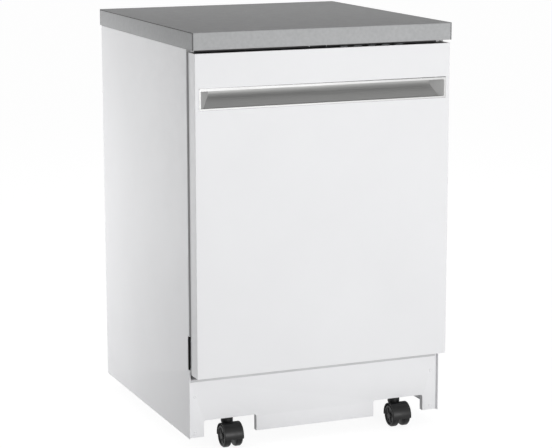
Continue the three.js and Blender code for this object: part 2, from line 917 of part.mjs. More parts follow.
function dispenserBody() {
  const half = dispenserWidth / 2;
  const z0 = dispenserFloor;
  const z1 = z0 + dispenserHeight;
  const face = dispenserFace + dispenserFlange;
  const core = box(-half, half, dispenserFace - dispenserDepth, face, z0, z1);
  const flange = box(-half - 5, half + 5, dispenserFace, face, z0 - 5, z1 + 5);
  const cup = box(cupLeft, cupLeft + cupSize, face - 24, face + 1, cupBottom, cupBottom + cupSize);
  const well = latheY(capX, capZ, [[0, face - 12], [capRadius + gap, face - 12], [capRadius + gap, face + 1], [0, face + 1]]);
  return core.add(flange).subtract(cup).subtract(well);
}

function dispenserLid() {
  const face = dispenserFace + dispenserFlange + gap;
  const over = 3;
  const x0 = cupLeft - over;
  const x1 = cupLeft + cupSize + over;
  const plate = box(x0, x1, face, face + 2.2, cupBottom - over, cupBottom + cupSize + over);
  const grip = box(x1 - 10, x1 - 6, face + 2, face + 5, cupBottom + 8, cupBottom + cupSize - 8);
  return plate.add(grip);
}

function rinseAidCap() {
  const face = dispenserFace + dispenserFlange;
  const profile = [
    [0, face - 12 + gap],
    [capRadius, face - 12 + gap],
    [capRadius, face + 1],
    [0, face + 1],
  ];
  const cap = latheY(capX, capZ, profile);
  const rib = box(capX - capRadius + 3, capX + capRadius - 3, face, face + 4, capZ - 2, capZ + 2);
  return cap.add(rib);
}

// The arm is bolted inside the door; its ear turns on the bracket's pin.
function hingeArm(side) {
  const x0 = side * armInner;
  const x1 = side * (armInner + armThickness);
  const front = doorFront + sheet + gap;
  const back = doorBack - sheet - gap;
  const plate = box(x0, x1, front, back, pivotZ - 44, pivotZ + 150);
  const ear = cylinderX(x0, x1, 0, pivotZ, earRadius, 24);
  const neck = box(x0, x1, back - 5, 0, pivotZ - earRadius, pivotZ + earRadius);
  const flange = box(side * (armInner - 10), x1, front, front + 2, pivotZ - 44, pivotZ + 150);
  const bore = cylinderX(side * (armInner - 1), side * (armInner + armThickness + 1), 0, pivotZ,
    pivotPinRadius + gap, 20);
  return joinAll([plate, ear, neck, flange]).subtract(bore);
}

function hingeBracket(side) {
  const x0 = side * bracketInner;
  const x1 = side * (bracketInner + armThickness);
  const legFront = Math.hypot(doorFront, pivotAboveDoorBottom) + 2;
  const legBack = legFront + 24;
  const floor = frameBottom + frameWall + gap;
  const barTop = pivotZ + earRadius + 2;
  const bar = box(x0, x1, 0, legBack, pivotZ + 1, barTop);
  const leg = box(x0, x1, legFront, legBack, floor, barTop);
  const ear = cylinderX(x0, x1, 0, pivotZ, earRadius, 24);
  const foot = box(side * (bracketInner - 8), x1, legFront, legBack, floor, floor + 3);
  const pin = cylinderX(side * (armInner - 3), side * (bracketInner + 1), 0, pivotZ, pivotPinRadius, 20);
  return joinAll([bar, leg, ear, foot, pin]);
}

// ---------------------------------------------------------------- racks

// A basket of square wires: a thin tray whose floor and walls are opened by rows of windows.
// Its front wall leans out by the difference between front and rimFront.
function wireBasket({ half, front, rimFront, rear, floor, rim, across, along }) {
  const band = rackWire;
  const ledge = 0.5;
  const slope = (rimFront - front) / (rim - floor);
  const outer = outline([
    [front, floor],
    [rear, floor],
    [rear, rim],
    [rimFront, rim],
  ]);
  const inner = outline([
    [front + band * (1 + slope), floor + band],
    [rear - band, floor + band],
    [rear - band, rim + 1],
    [rimFront + band + slope, rim + 1],
  ]);
  let basket = prismX(outer, -half, half).subtract(prismX(inner, -half + band, half - band));
  const pitchX = (2 * half - band) / across;
  const pitchY = (rear - front - band) / along;
  const low = floor + band + ledge;
  const high = rim - band;
  const windows = [];
  for (let i = 0; i < across; i += 1) {
    const x0 = -half + i * pitchX + band + ledge;
    const x1 = -half + (i + 1) * pitchX - ledge;
    windows.push(box(x0, x1, rear - band - 1, rear + 1, low, high));
    windows.push(box(x0, x1, rimFront - 1, front + band + ledge, low, high));
    for (let j = 0; j < along; j += 1) {
      const y0 = front + j * pitchY + band + 2 * ledge;
      windows.push(box(x0, x1, y0, front + (j + 1) * pitchY - ledge, floor - 1, floor + band + 1));
    }
  }
  for (let j = 0; j < along; j += 1) {
    const y0 = front + j * pitchY + band + 2 * ledge;
    const y1 = front + (j + 1) * pitchY - ledge;
    windows.push(box(-half - 1, -half + band + 1, y0, y1, low, high));
    windows.push(box(half - band - 1, half + 1, y0, y1, low, high));
  }
  basket = basket.subtract(joinAll(windows));
  return basket;
}

function lowerRack() {
  let rack = wireBasket({
    half: lowerRackHalf,
    front: lowerRackFront,
    rimFront: upperRackFront,
    rear: rackRear,
    floor: lowerRackFloor,
    rim: lowerRackRim,
    across: 6,
    along: 5,
  });
  for (const side of [-1, 1]) {
    for (const y of lowerWheelPlaces) {
      const inner = side * (lowerRackHalf - 7);
      const hanger = box(inner, side * (lowerRackHalf - 1), y - 8, y + 8, lowerAxleZ - 6, lowerRackFloor + 20);
      const axle = cylinderX(inner, side * (lowerWheelX + rackWheelWidth + 1), y, lowerAxleZ, lowerAxleRadius, 12);
      const end = side * (lowerWheelX + rackWheelWidth + 1);
      const cap = cylinderX(end - side * 0.6, end + side * 1.2, y, lowerAxleZ, lowerAxleRadius + 2, 12);
      rack = rack.add(hanger).add(axle).add(cap);
    }
  }
  return rack;
}

function rackWheel() {
  const outer = cylinderX(0, rackWheelWidth, 0, 0, rackWheelRadius, 24);
  return outer.subtract(cylinderX(-1, rackWheelWidth + 1, 0, 0, lowerAxleRadius + gap, 12));
}

function upperRack() {
  let rack = wireBasket({
    half: upperRackHalf,
    front: upperRackFront,
    rimFront: upperRackFront,
    rear: rackRear,
    floor: upperRackFloor,
    rim: upperRackRim,
    across: 6,
    along: 5,
  });
  const rollerRadius = railHeight / 2 - trackWall - rollerPlay;
  const rollerOuter = trackOuter - 2 * trackWall - 2;
  for (const side of [-1, 1]) {
    const inner = side * (upperRackHalf - 2);
    const outer = side * (upperRackHalf + 3);
    const bar = box(inner, outer, upperRackFront + 1, rackRear - 1, railCentreZ - 14, railCentreZ + 14);
    rack = rack.add(bar);
    for (const y of upperRollerPlaces) {
      rack = rack.add(cylinderX(inner, side * rollerOuter, y, railCentreZ, rollerRadius, 16));
    }
  }
  const plate = 34;
  return rack.add(box(-plate, plate, sprayCentreY - plate, sprayCentreY + plate, upperRackFloor,
    upperRackFloor + rackWire));
}

function cutleryBasket() {
  const x1 = lowerRackHalf - cutleryFromSide;
  const x0 = x1 - cutleryWidth;
  const y0 = lowerRackFront + cutleryFromFront;
  const y1 = y0 + cutleryLength;
  const z0 = lowerRackFloor + rackWire + gap;
  const z1 = z0 + cutleryHeight;
  const wall = cutleryWall;
  let basket = box(x0, x1, y0, y1, z0, z1);
  const cell = (x1 - x0 - wall) / cutleryCells;
  for (let i = 0; i < cutleryCells; i += 1) {
    const left = x0 + wall + i * cell;
    basket = basket.subtract(box(left, left + cell - wall, y0 + wall, y1 - wall, z0 + wall, z1 + 1));
  }
  return basket;
}

function fixedTrack(side) {
  const outer = side * trackOuter;
  const inner = side * (trackOuter - trackDepth);
  const half = railHeight / 2 + trackPlay + trackWall;
  const full = box(inner, outer, trackFront, trackRear, railCentreZ - half, railCentreZ + half);
  const open = half - trackWall;
  const groove = box(inner - side, side * (trackOuter - trackWall), trackFront - 1, trackRear + 1,
    railCentreZ - open, railCentreZ + open);
  return full.subtract(groove);
}

function slidingRail(side) {
  const outer = side * (trackOuter - trackWall - gap);
  const inner = side * (trackOuter - 2 * trackDepth);
  const half = railHeight / 2;
  const full = box(inner, outer, trackFront, trackRear, railCentreZ - half, railCentreZ + half);
  const open = half - trackWall;
  const groove = box(inner - side, outer - side * trackWall, trackFront - 1, trackRear + 1,
    railCentreZ - open, railCentreZ + open);
  return full.subtract(groove);
}

// ---------------------------------------------------------------- casters

// Drawn about the stem axis, with the wheels trailing towards the front.
function casterHood() {
  const y = -wheelTrail;
  const z = wheelRadius;
  const outer = wheelRadius + hoodGap + hoodWall;
  const inner = wheelRadius + hoodGap;
  const web = wheelSpacing / 2 - 1;
  const cover = cylinderX(-wheelOuter, wheelOuter, y, z, outer, hoodSides);
  const room = cylinderX(-wheelOuter - 1, wheelOuter + 1, y, z, inner, hoodSides);
  const reach = 2 * outer;
  const below = box(-reach, reach, y - reach, y + reach, z - reach, z - 4);
  const shell = cover.subtract(room).subtract(below);
  const plate = cylinderX(-web, web, y, z, outer - 0.5, hoodSides).subtract(below);
  const boss = cylinderX(-web, web, y, z, 8, 20);
  const collar = cylinderZ(0, 0, 2 * wheelRadius - 14, collarTop, collarRadius, 20);
  const wheelRoom = cylinderX(-wheelOuter - 1, -web, y, z, inner, hoodSides)
    .add(cylinderX(web, wheelOuter + 1, y, z, inner, hoodSides));
  const neck = cylinderZ(0, 0, collarTop - 1, neckTop, neckRadius, 16);
  const stem = cylinderZ(0, 0, neckTop - 1, socketBottom + stemLength, stemRadius, 16);
  const bore = cylinderX(-web - 1, web + 1, y, z, axleRadius + gap, 16);
  const body = joinAll([shell, plate, boss, collar.subtract(wheelRoom), neck, stem]);
  return body.subtract(bore);
}

function casterWheels() {
  const radius = wheelRadius / Math.cos(Math.PI / wheelFacets);
  const inner = wheelSpacing / 2;
  const parts = [cylinderX(-inner - 1, inner + 1, 0, 0, axleRadius, 12)];
  for (const side of [-1, 1]) {
    parts.push(cylinderX(side * inner, side * wheelOuter, 0, 0, radius, wheelFacets));
  }
  return joinAll(parts);
}

// ---------------------------------------------------------------- assembly

addPiece(machine, "worktop", worktop(), greyLaminate);
addPiece(machine, "rear_panel", rearPanel(), whitePaint);
addPiece(machine, "hose_bay", hoseBay(), greyPlastic);
addPiece(machine, "cord_gland", gland(-glandX, cordGlandRadius), blackPlastic);
addPiece(machine, "hose_gland", gland(glandX, hoseGlandRadius), blackPlastic);
addPiece(machine, "base_frame", baseFrame(), zincSteel);
addPiece(machine, "kick_panel", kickPanel(), whitePaint);
addPiece(machine, "top_frame", topFrame(), zincSteel);
addPiece(machine, "door_strike", doorStrike(), zincSteel);
addPiece(machine, "tub", tub(), stainless);
addPiece(machine, "tub_gasket", tubGasket(), blackRubber);
addPiece(machine, "sump", sump(), greyPlastic);
addPiece(machine, "filter", filter(), greyPlastic);
addPiece(machine, "wash_pump", washPump(), blackPlastic);
addPiece(machine, "drain_pump", drainPump(), blackPlastic);
addPiece(machine, "heating_element", heatingElement(), copperSheath);
addPiece(machine, "inlet_valve", inletValve(), whitePlastic);
addPiece(machine, "float_dome", floatDome(), whitePlastic);
addPiece(machine, "feed_tube", feedTube(), greyPlastic);
addPiece(machine, "top_shower", topShower(), greyPlastic);
addPiece(machine, "lower_spray_arm", sprayArm(lowerArmReach, armLevel, armLevel - 8, armLevel + 14,
  armPostRadius + gap), greyPlastic);

for (const [hand, side] of [["left", -1], ["right", 1]]) {
  addPiece(machine, `${hand}_side_panel`, sidePanel(side), whitePaint);
  addPiece(machine, `${hand}_hinge_bracket`, hingeBracket(side), zincSteel);
  addPiece(machine, `${hand}_rack_track`, fixedTrack(side), stainless);
  addPiece(machine, `${hand}_rack_rail`, slidingRail(side), stainless);
}

const door = new THREE.Group();
machine.add(door);
addPiece(door, "door_outer_panel", doorOuterPanel(), whitePaint);
addPiece(door, "door_inner_panel", doorInnerPanel(), stainless);
addPiece(door, "handle_pocket", handlePocket(), brushedMetal);
addPiece(door, "control_console", controlConsole(), blackPlastic);
addPiece(door, "door_latch", doorLatch(), blackPlastic);
addPiece(door, "dispenser_body", dispenserBody(), greyPlastic);
addPiece(door, "dispenser_lid", dispenserLid(), greyPlastic);
addPiece(door, "rinse_aid_cap", rinseAidCap(), blackPlastic);
addPiece(door, "left_hinge_arm", hingeArm(-1), zincSteel);
addPiece(door, "right_hinge_arm", hingeArm(1), zincSteel);
for (let i = 0; i < buttonCount; i += 1) {
  const mesh = addPiece(door, `button_${i + 1}`, button(), greyPlastic);
  mesh.position.set(buttonX(i), (doorFront + sheet + gap + doorBack) / 2, 0);
}

const upper = new THREE.Group();
machine.add(upper);
addPiece(upper, "upper_rack", upperRack(), rackNylon);
addPiece(upper, "middle_spray_arm", sprayArm(middleArmReach, upperRackFloor - 26, upperRackFloor - 28,
  upperRackFloor - gap, 0), greyPlastic);

const lower = new THREE.Group();
machine.add(lower);
addPiece(lower, "lower_rack", lowerRack(), rackNylon);
addPiece(lower, "cutlery_basket", cutleryBasket(), greyPlastic);
for (const [hand, side] of [["left", -1], ["right", 1]]) {
  lowerWheelPlaces.forEach((y, index) => {
    const name = `rack_wheel_${hand}_${index === 0 ? "front" : "rear"}`;
    const mesh = addPiece(lower, name, rackWheel(), greyPlastic);
    const x = side > 0 ? lowerWheelX : -lowerWheelX - rackWheelWidth;
    mesh.position.set(x, y, lowerAxleZ);
  });
}

for (const { name, x, y } of casterPlaces()) {
  const caster = new THREE.Group();
  caster.position.set(x, y, 0);
  machine.add(caster);
  addPiece(caster, `caster_hood_${name}`, casterHood(), blackPlastic);
  const wheels = addPiece(caster, `caster_wheels_${name}`, casterWheels(), blackPlastic);
  wheels.position.set(0, -wheelTrail, wheelRadius);
}

const frontMost = doorFront;
const rearMost = cabinetDepth + worktopRearOverhang;
machine.position.y = -(frontMost + rearMost) / 2;

export default machine;
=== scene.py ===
# Looks of a portable dishwasher on casters. Metres, +Z up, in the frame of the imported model.
import json
import math

import bmesh
import bpy
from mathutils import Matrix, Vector


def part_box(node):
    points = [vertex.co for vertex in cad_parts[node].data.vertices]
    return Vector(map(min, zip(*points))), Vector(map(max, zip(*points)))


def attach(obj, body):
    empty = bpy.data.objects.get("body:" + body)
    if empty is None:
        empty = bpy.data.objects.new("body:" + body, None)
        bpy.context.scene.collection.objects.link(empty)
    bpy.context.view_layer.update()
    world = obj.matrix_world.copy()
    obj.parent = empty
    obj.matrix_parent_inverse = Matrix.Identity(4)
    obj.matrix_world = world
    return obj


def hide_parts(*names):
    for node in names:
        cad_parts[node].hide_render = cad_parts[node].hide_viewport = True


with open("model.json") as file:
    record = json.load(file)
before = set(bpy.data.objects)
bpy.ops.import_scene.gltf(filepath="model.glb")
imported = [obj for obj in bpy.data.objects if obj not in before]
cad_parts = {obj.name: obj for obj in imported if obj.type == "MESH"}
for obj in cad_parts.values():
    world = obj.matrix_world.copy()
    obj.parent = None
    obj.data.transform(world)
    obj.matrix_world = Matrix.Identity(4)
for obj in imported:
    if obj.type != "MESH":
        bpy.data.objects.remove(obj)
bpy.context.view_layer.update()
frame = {"nodes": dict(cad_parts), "record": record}

MM = 0.001
BODY_OF = {
    node: body
    for body, members in frame["record"]["behaviour"]["bodies"].items()
    for node in members
}
SLOT_OF = {row["node"]: row["material_slot"] for row in frame["record"]["subparts"]}
scene = bpy.context.scene
scene.view_settings.view_transform = "Standard"


# ---------------------------------------------------------------- camera, floor and light

# Places are in metres, the camera's turns in degrees and the lamps' powers in watts.
CAMERA_PLACE = (-1.7303, -4.2605, 1.3423)
CAMERA_YAW = 22.322
CAMERA_PITCH = -11.0078
CAMERA_ROLL = 0.0917
FOCAL_PIXELS = 1953.85
PHOTO_WIDTH = 552
SENSOR_MM = 36
WHITE = (1, 1, 1, 1)
WORLD_LIGHT = 0.43
BACKDROP_STRENGTH = 1
FLOOR_REACH = 14.0
FLOOR_COLOR = (0.8, 0.8, 0.8, 1)
FLOOR_GLOW = 1.2
FLOOR_GLOW_SHARE = 0.75


def make_camera():
    """The photo's camera, as fitted to corners and edges that the photo shows."""
    data = bpy.data.cameras.new("photo_camera")
    data.sensor_width = SENSOR_MM
    data.lens = FOCAL_PIXELS / PHOTO_WIDTH * SENSOR_MM
    data.dof.use_dof = False
    camera = bpy.data.objects.new("photo_camera", data)
    camera.location = CAMERA_PLACE
    turns = (90 + CAMERA_PITCH, CAMERA_ROLL, -CAMERA_YAW)
    camera.rotation_euler = [math.radians(turn) for turn in turns]
    scene.collection.objects.link(camera)
    scene.camera = camera


def seen_directly(nodes, links):
    """1 where a camera, mirror or glass ray sees the surface, and 0 for light that it gives."""
    path = nodes.new("ShaderNodeLightPath")
    seen = path.outputs["Is Camera Ray"]
    for kind in ("Is Glossy Ray", "Is Transmission Ray"):
        either = nodes.new("ShaderNodeMath")
        either.operation = "MAXIMUM"
        links.new(seen, either.inputs[0])
        links.new(path.outputs[kind], either.inputs[1])
        seen = either.outputs[0]
    return seen


def make_world():
    """Even light from all round, which is plain white where it is seen."""
    world = bpy.data.worlds.new("studio")
    scene.world = world
    world.use_nodes = True
    nodes, links = world.node_tree.nodes, world.node_tree.links
    nodes.clear()
    out = nodes.new("ShaderNodeOutputWorld")
    mix = nodes.new("ShaderNodeMixShader")
    links.new(seen_directly(nodes, links), mix.inputs["Fac"])
    for place, strength in ((1, WORLD_LIGHT), (2, BACKDROP_STRENGTH)):
        background = nodes.new("ShaderNodeBackground")
        background.inputs["Color"].default_value = WHITE
        background.inputs["Strength"].default_value = strength
        links.new(background.outputs[0], mix.inputs[place])
    links.new(mix.outputs[0], out.inputs["Surface"])


def make_floor():
    """A matte floor that keeps the shadow, and glows where it is seen, so that it stays pale."""
    mesh = bpy.data.meshes.new("floor")
    corners = [(x * FLOOR_REACH, y * FLOOR_REACH, 0) for x, y in ((-1, -1), (1, -1), (1, 1), (-1, 1))]
    mesh.from_pydata(corners, [], [(0, 1, 2, 3)])
    floor = bpy.data.objects.new("floor", mesh)
    scene.collection.objects.link(floor)
    mat = bpy.data.materials.new("pale_floor")
    mat.use_nodes = True
    nodes, links = mat.node_tree.nodes, mat.node_tree.links
    nodes.clear()
    out = nodes.new("ShaderNodeOutputMaterial")
    matte = nodes.new("ShaderNodeBsdfDiffuse")
    matte.inputs["Color"].default_value = FLOOR_COLOR
    glow = nodes.new("ShaderNodeEmission")
    glow.inputs["Color"].default_value = WHITE
    glow.inputs["Strength"].default_value = FLOOR_GLOW
    share = nodes.new("ShaderNodeMath")
    share.operation = "MULTIPLY"
    share.inputs[1].default_value = FLOOR_GLOW_SHARE
    links.new(seen_directly(nodes, links), share.inputs[0])
    mix = nodes.new("ShaderNodeMixShader")
    links.new(share.outputs[0], mix.inputs["Fac"])
    links.new(matte.outputs[0], mix.inputs[1])
    links.new(glow.outputs[0], mix.inputs[2])
    links.new(mix.outputs[0], out.inputs["Surface"])
    mesh.materials.append(mat)


def area_light(name, place, target, width, height, power):
    """A rectangular lamp that points at a target."""
    data = bpy.data.lights.new(name, "AREA")
    data.shape = "RECTANGLE"
    data.size = width
    data.size_y = height
    data.energy = power
    lamp = bpy.data.objects.new(name, data)
    lamp.location = place
    aim = Vector(target) - Vector(place)
    lamp.rotation_euler = aim.to_track_quat("-Z", "Y").to_euler()
    scene.collection.objects.link(lamp)


make_camera()
make_world()
make_floor()
area_light("front_box", (0.8, -4.2, 0.86), (0, 0, 0.35), width=2.1, height=0.9, power=78)
area_light("left_box", (-1.05, 1.0, 0.5), (-0.3, 0.3, 0.45), width=0.7, height=0.9, power=6.5)
area_light("rear_top_box", (0.8, 2.4, 3.2), (0, 0.2, 0.9), width=2.0, height=1.4, power=14)


# ---------------------------------------------------------------- finishes

PATTERN_LOW = 0.3
PATTERN_HIGH = 0.7
SOFT_GLOSS = 0.25


def new_material(name, color, roughness, metallic=0.0):
    """A material and its shader."""
    mat = bpy.data.materials.new(name)
    mat.use_nodes = True
    mat.diffuse_color = (*color, 1)
    shader = mat.node_tree.nodes["Principled BSDF"]
    shader.inputs["Base Color"].default_value = (*color, 1)
    shader.inputs["Roughness"].default_value = roughness
    shader.inputs["Metallic"].default_value = metallic
    return mat, shader


def object_place(mat, stretch):
    """The place on the object itself, so that a pattern moves along with it."""
    nodes, links = mat.node_tree.nodes, mat.node_tree.links
    place = nodes.new("ShaderNodeTexCoord")
    scale = nodes.new("ShaderNodeMapping")
    scale.inputs["Scale"].default_value = stretch
    links.new(place.outputs["Object"], scale.inputs["Vector"])
    return scale.outputs["Vector"]


def noise(mat, scale, detail=3, stretch=(1, 1, 1)):
    """A cloudy 0 to 1 pattern; a small stretch along an axis draws it out into lines."""
    nodes, links = mat.node_tree.nodes, mat.node_tree.links
    node = nodes.new("ShaderNodeTexNoise")
    node.inputs["Scale"].default_value = scale
    node.inputs["Detail"].default_value = detail
    links.new(object_place(mat, stretch), node.inputs["Vector"])
    return node.outputs["Fac"]


def vary(mat, shader, source, socket, low, high):
    """Drives a socket between two values by a 0 to 1 pattern."""
    nodes, links = mat.node_tree.nodes, mat.node_tree.links
    if socket == "Base Color":
        ramp = nodes.new("ShaderNodeValToRGB")
        ramp.color_ramp.elements[0].position = PATTERN_LOW
        ramp.color_ramp.elements[1].position = PATTERN_HIGH
        ramp.color_ramp.elements[0].color = (*low, 1)
        ramp.color_ramp.elements[1].color = (*high, 1)
        links.new(source, ramp.inputs["Fac"])
        links.new(ramp.outputs["Color"], shader.inputs[socket])
        return
    span = nodes.new("ShaderNodeMapRange")
    span.inputs["From Min"].default_value = PATTERN_LOW
    span.inputs["From Max"].default_value = PATTERN_HIGH
    span.inputs["To Min"].default_value = low
    span.inputs["To Max"].default_value = high
    links.new(source, span.inputs["Value"])
    links.new(span.outputs["Result"], shader.inputs[socket])


def bump(mat, shader, source, distance, strength):
    """Raises the surface by a 0 to 1 pattern, up to a distance in metres."""
    nodes, links = mat.node_tree.nodes, mat.node_tree.links
    node = nodes.new("ShaderNodeBump")
    node.inputs["Distance"].default_value = distance
    node.inputs["Strength"].default_value = strength
    links.new(source, node.inputs["Height"])
    links.new(node.outputs["Normal"], shader.inputs["Normal"])


def shade(color, factor):
    """The colour, made darker or lighter by a factor."""
    return tuple(min(1.0, channel * factor) for channel in color)


def enamel(name, color):
    """Baked enamel on sheet steel: a faint orange peel and an almost even white."""
    mat, shader = new_material(name, color, 0.5)
    shader.inputs["Specular IOR Level"].default_value = SOFT_GLOSS
    vary(mat, shader, noise(mat, 5), "Base Color", shade(color, 0.985), shade(color, 1.01))
    vary(mat, shader, noise(mat, 60), "Roughness", 0.45, 0.55)
    bump(mat, shader, noise(mat, 420, 2), 0.00003, 0.6)
    return mat


def laminate(name, color):
    """High-pressure laminate: a fine stipple with a slight mottle."""
    mat, shader = new_material(name, color, 0.7)
    shader.inputs["Specular IOR Level"].default_value = SOFT_GLOSS
    vary(mat, shader, noise(mat, 140, 4), "Base Color", shade(color, 0.95), shade(color, 1.05))
    vary(mat, shader, noise(mat, 35), "Roughness", 0.65, 0.75)
    bump(mat, shader, noise(mat, 1500, 2), 0.00004, 0.5)
    return mat


def brushed(name, color, roughness, stretch, depth=0.00003, metallic=1.0):
    """Metal brushed along one axis, which the stretch shortens."""
    mat, shader = new_material(name, color, roughness, metallic)
    lines = noise(mat, 900, 2, stretch)
    vary(mat, shader, lines, "Base Color", shade(color, 0.93), shade(color, 1.04))
    vary(mat, shader, lines, "Roughness", roughness * 0.8, roughness * 1.25)
    bump(mat, shader, lines, depth, 0.5)
    return mat


def spangled(name, color):
    """Zinc-plated steel with its soft cloudy grain."""
    roughness = 0.45
    mat, shader = new_material(name, color, roughness, 1.0)
    cloud = noise(mat, 45, 4)
    vary(mat, shader, cloud, "Base Color", shade(color, 0.86), shade(color, 1.06))
    vary(mat, shader, cloud, "Roughness", roughness * 0.85, roughness * 1.2)
    bump(mat, shader, noise(mat, 500, 2), 0.00003, 0.4)
    return mat


def moulded(name, color, roughness, grain=700, gloss=0.4):
    """Injection-moulded plastic with a fine spark-eroded grain."""
    mat, shader = new_material(name, color, roughness)
    shader.inputs["Specular IOR Level"].default_value = gloss
    vary(mat, shader, noise(mat, 12), "Base Color", shade(color, 0.93), shade(color, 1.06))
    vary(mat, shader, noise(mat, 90), "Roughness", roughness * 0.9, roughness * 1.12)
    bump(mat, shader, noise(mat, grain, 2), 0.00005, 0.5)
    return mat


ALONG_X = (0.01, 1, 1)
ALONG_Z = (1, 1, 0.01)
ROLLED_ALONG_X = (0.02, 1, 1)
FINISH = {
    "worktop": laminate("grey_laminate", (0.3, 0.301, 0.304)),
    "white_paint": enamel("white_enamel", (0.86, 0.862, 0.875)),
    "stainless": brushed("rolled_stainless", (0.62, 0.625, 0.63), 0.28, ROLLED_ALONG_X),
    # The handle's back: a darker copy of the handle metal, which paints the shade in its recess.
    "brushed_metal": brushed(
        "brushed_handle_metal_painted_shade", (0.275, 0.275, 0.271), 0.42, ALONG_X, metallic=0.3
    ),
    "zinc_steel": spangled("zinc_steel", (0.55, 0.56, 0.57)),
    "heater_sheath": spangled("heater_sheath", (0.22, 0.2, 0.18)),
    "coated_wire": moulded("nylon_coated_wire", (0.33, 0.35, 0.38), 0.4, 900),
    "seal_rubber": moulded("seal_rubber", (0.035, 0.035, 0.036), 0.75, 500),
    "white_plastic": moulded("white_plastic", (0.78, 0.78, 0.77), 0.45),
    "grey_plastic": moulded("grey_plastic", (0.26, 0.27, 0.285), 0.5),
    "black_plastic": moulded("black_plastic", (0.02, 0.02, 0.021), 0.45),
    "caster_black": moulded("caster_nylon", (0.004, 0.004, 0.0043), 0.42, 600, gloss=0.35),
}
# The bands are a paler copy of the top's laminate: painted light on the lit edges.
EDGE_BAND_PAINTED_LIGHT = laminate("laminate_edge_band_painted_light", (0.435, 0.44, 0.445))
# The corner strips are dark to paint the shade of the rounded corners.
CORNER_PAINTED_SHADE = laminate("laminate_corner_painted_shade", (0.15, 0.151, 0.154))
# Paler copies of the handle metal: the lip's tone is a painted highlight, and the end walls' tone is
# painted light.
HANDLE_LIP_HIGHLIGHT = brushed("polished_handle_lip_painted_highlight", (0.66, 0.66, 0.655), 0.24, ALONG_X, depth=0.00001)
HANDLE_RIM = brushed("satin_handle_rim", (0.43, 0.43, 0.428), 0.4, ALONG_X, 0.00002, metallic=0.5)
HANDLE_END_PAINTED_LIGHT = brushed("satin_handle_end_painted_light", (0.45, 0.45, 0.446), 0.45, ALONG_Z, metallic=0.1)
# A grey strip whose colour paints the shade in the gaps beside the door.
SIDE_GAP_SHADE = moulded("side_gap_painted_shade", (0.44, 0.44, 0.445), 0.8, 300)
# A dark grey strip whose colour paints the shade in the gap over the door.
TOP_GAP_SHADE = moulded("top_gap_painted_shade", (0.11, 0.11, 0.112), 0.8, 300)
STRIKE_COATING = moulded("black_strike_coating", (0.02, 0.02, 0.021), 0.5, 300)
# A grey darker than the enamel, which paints the door's shadow on the kick panel.
KICK_TOP_SHADOW = moulded("kick_top_painted_shadow", (0.6, 0.6, 0.61), 0.7, 300)
# A matte near-black that paints the shade inside the hinge notches.
NOTCH_SHADE = moulded("notch_painted_shade", (0.006, 0.006, 0.0062), 0.9, 300, gloss=0.1)
# The board core is dark to paint the shade in the seams where it shows.
BOARD_CORE_SEAM_SHADE = moulded("board_core_painted_seam_shade", (0.07, 0.066, 0.06), 0.8, 300)
WHEEL_TREAD = moulded("wheel_tread", (0.006, 0.006, 0.0063), 0.38, 500, gloss=SOFT_GLOSS)
HUB_GREY = moulded("hub_cap", (0.014, 0.014, 0.0145), 0.4, 600, gloss=SOFT_GLOSS)

for node_name, node_object in frame["nodes"].items():
    node_object.data.materials.clear()
    node_object.data.materials.append(FINISH[SLOT_OF[node_name]])


# ---------------------------------------------------------------- mesh helpers

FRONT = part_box("left_side_panel")[0].y
MERGE_DISTANCE = 0.00001
FLAT_WITHIN = math.radians(0.6)
SHARP_ABOVE = math.radians(30)
SMOOTH_BELOW = math.radians(35)
SMALLEST_FOLD = 0.00000001
SOFTEN_TRIES = 18
SOFTEN_STEP = 0.85
CORNER_ROOM = 0.45
BLOCK_FACES = (
    (0, 1, 3, 2),
    (4, 6, 7, 5),
    (0, 4, 5, 1),
    (2, 3, 7, 6),
    (0, 2, 6, 4),
    (1, 5, 7, 3),
)


def at(x, y, z):
    """A point given in millimetres, with y measured back from the cabinet's front plane."""
    return Vector((x * MM, FRONT + y * MM, z * MM))


def add_block(build, low, high):
    """A box between two corner points."""
    corners = [
        build.verts.new((x, y, z))
        for x in (low[0], high[0])
        for y in (low[1], high[1])
        for z in (low[2], high[2])
    ]
    for face in BLOCK_FACES:
        build.faces.new([corners[i] for i in face])


def add_side_block(build, side, across, along, upright):
    """A box on one side of the middle, from ranges in millimetres measured outwards, back and up."""
    left, right = sorted(side * x for x in across)
    add_block(build, at(left, along[0], upright[0]), at(right, along[1], upright[1]))


def filleted(points, radius, steps, closed=False):
    """The path through some points with its corners rounded."""
    path = []
    last = len(points) - 1
    for i, corner in enumerate(points):
        if not closed and i in (0, last):
            path.append(corner)
            continue
        before = points[i - 1]
        after = points[0] if i == last else points[i + 1]
        arriving = corner - before
        leaving = after - corner
        turn = arriving.angle(leaving)
        room = CORNER_ROOM * min(arriving.length, leaving.length)
        reach = min(radius * math.tan(turn / 2), room)
        start = corner - arriving.normalized() * reach
        end = corner + leaving.normalized() * reach
        for step in range(steps + 1):
            share = step / steps
            path.append(start.lerp(corner, share).lerp(corner.lerp(end, share), share))
    return path


def directions(across, other, count):
    """Evenly spaced unit vectors in the plane of two unit vectors that are square to each other."""
    turns = [2 * math.pi * i / count for i in range(count)]
    return [across * math.cos(turn) + other * math.sin(turn) for turn in turns]


def join_rings(build, rings, closed):
    """Quads from each ring to the next one, and open ends shut with a flat face."""
    sides = len(rings[0])
    following = rings[1:] + (rings[:1] if closed else [])
    for ring, onward in zip(rings, following):
        for j in range(sides):
            k = (j + 1) % sides
            build.faces.new((ring[j], ring[k], onward[k], onward[j]))
    if not closed:
        build.faces.new(list(reversed(rings[0])))
        build.faces.new(rings[-1])


def add_tube(build, path, radius, sides, closed=False):
    """A round bar along a path, with flat ends unless it closes on itself."""
    last = len(path) - 1
    rings = []
    across = None
    for i, point in enumerate(path):
        before = path[i - 1] if i > 0 or closed else point
        after = point if i == last and not closed else path[0 if i == last else i + 1]
        along = (after - before).normalized()
        if across is None:
            across = along.orthogonal()
        across = (across - along * across.dot(along)).normalized()
        outward = directions(across, along.cross(across), sides)
        rings.append([build.verts.new(point + way * radius) for way in outward])
    join_rings(build, rings, closed)


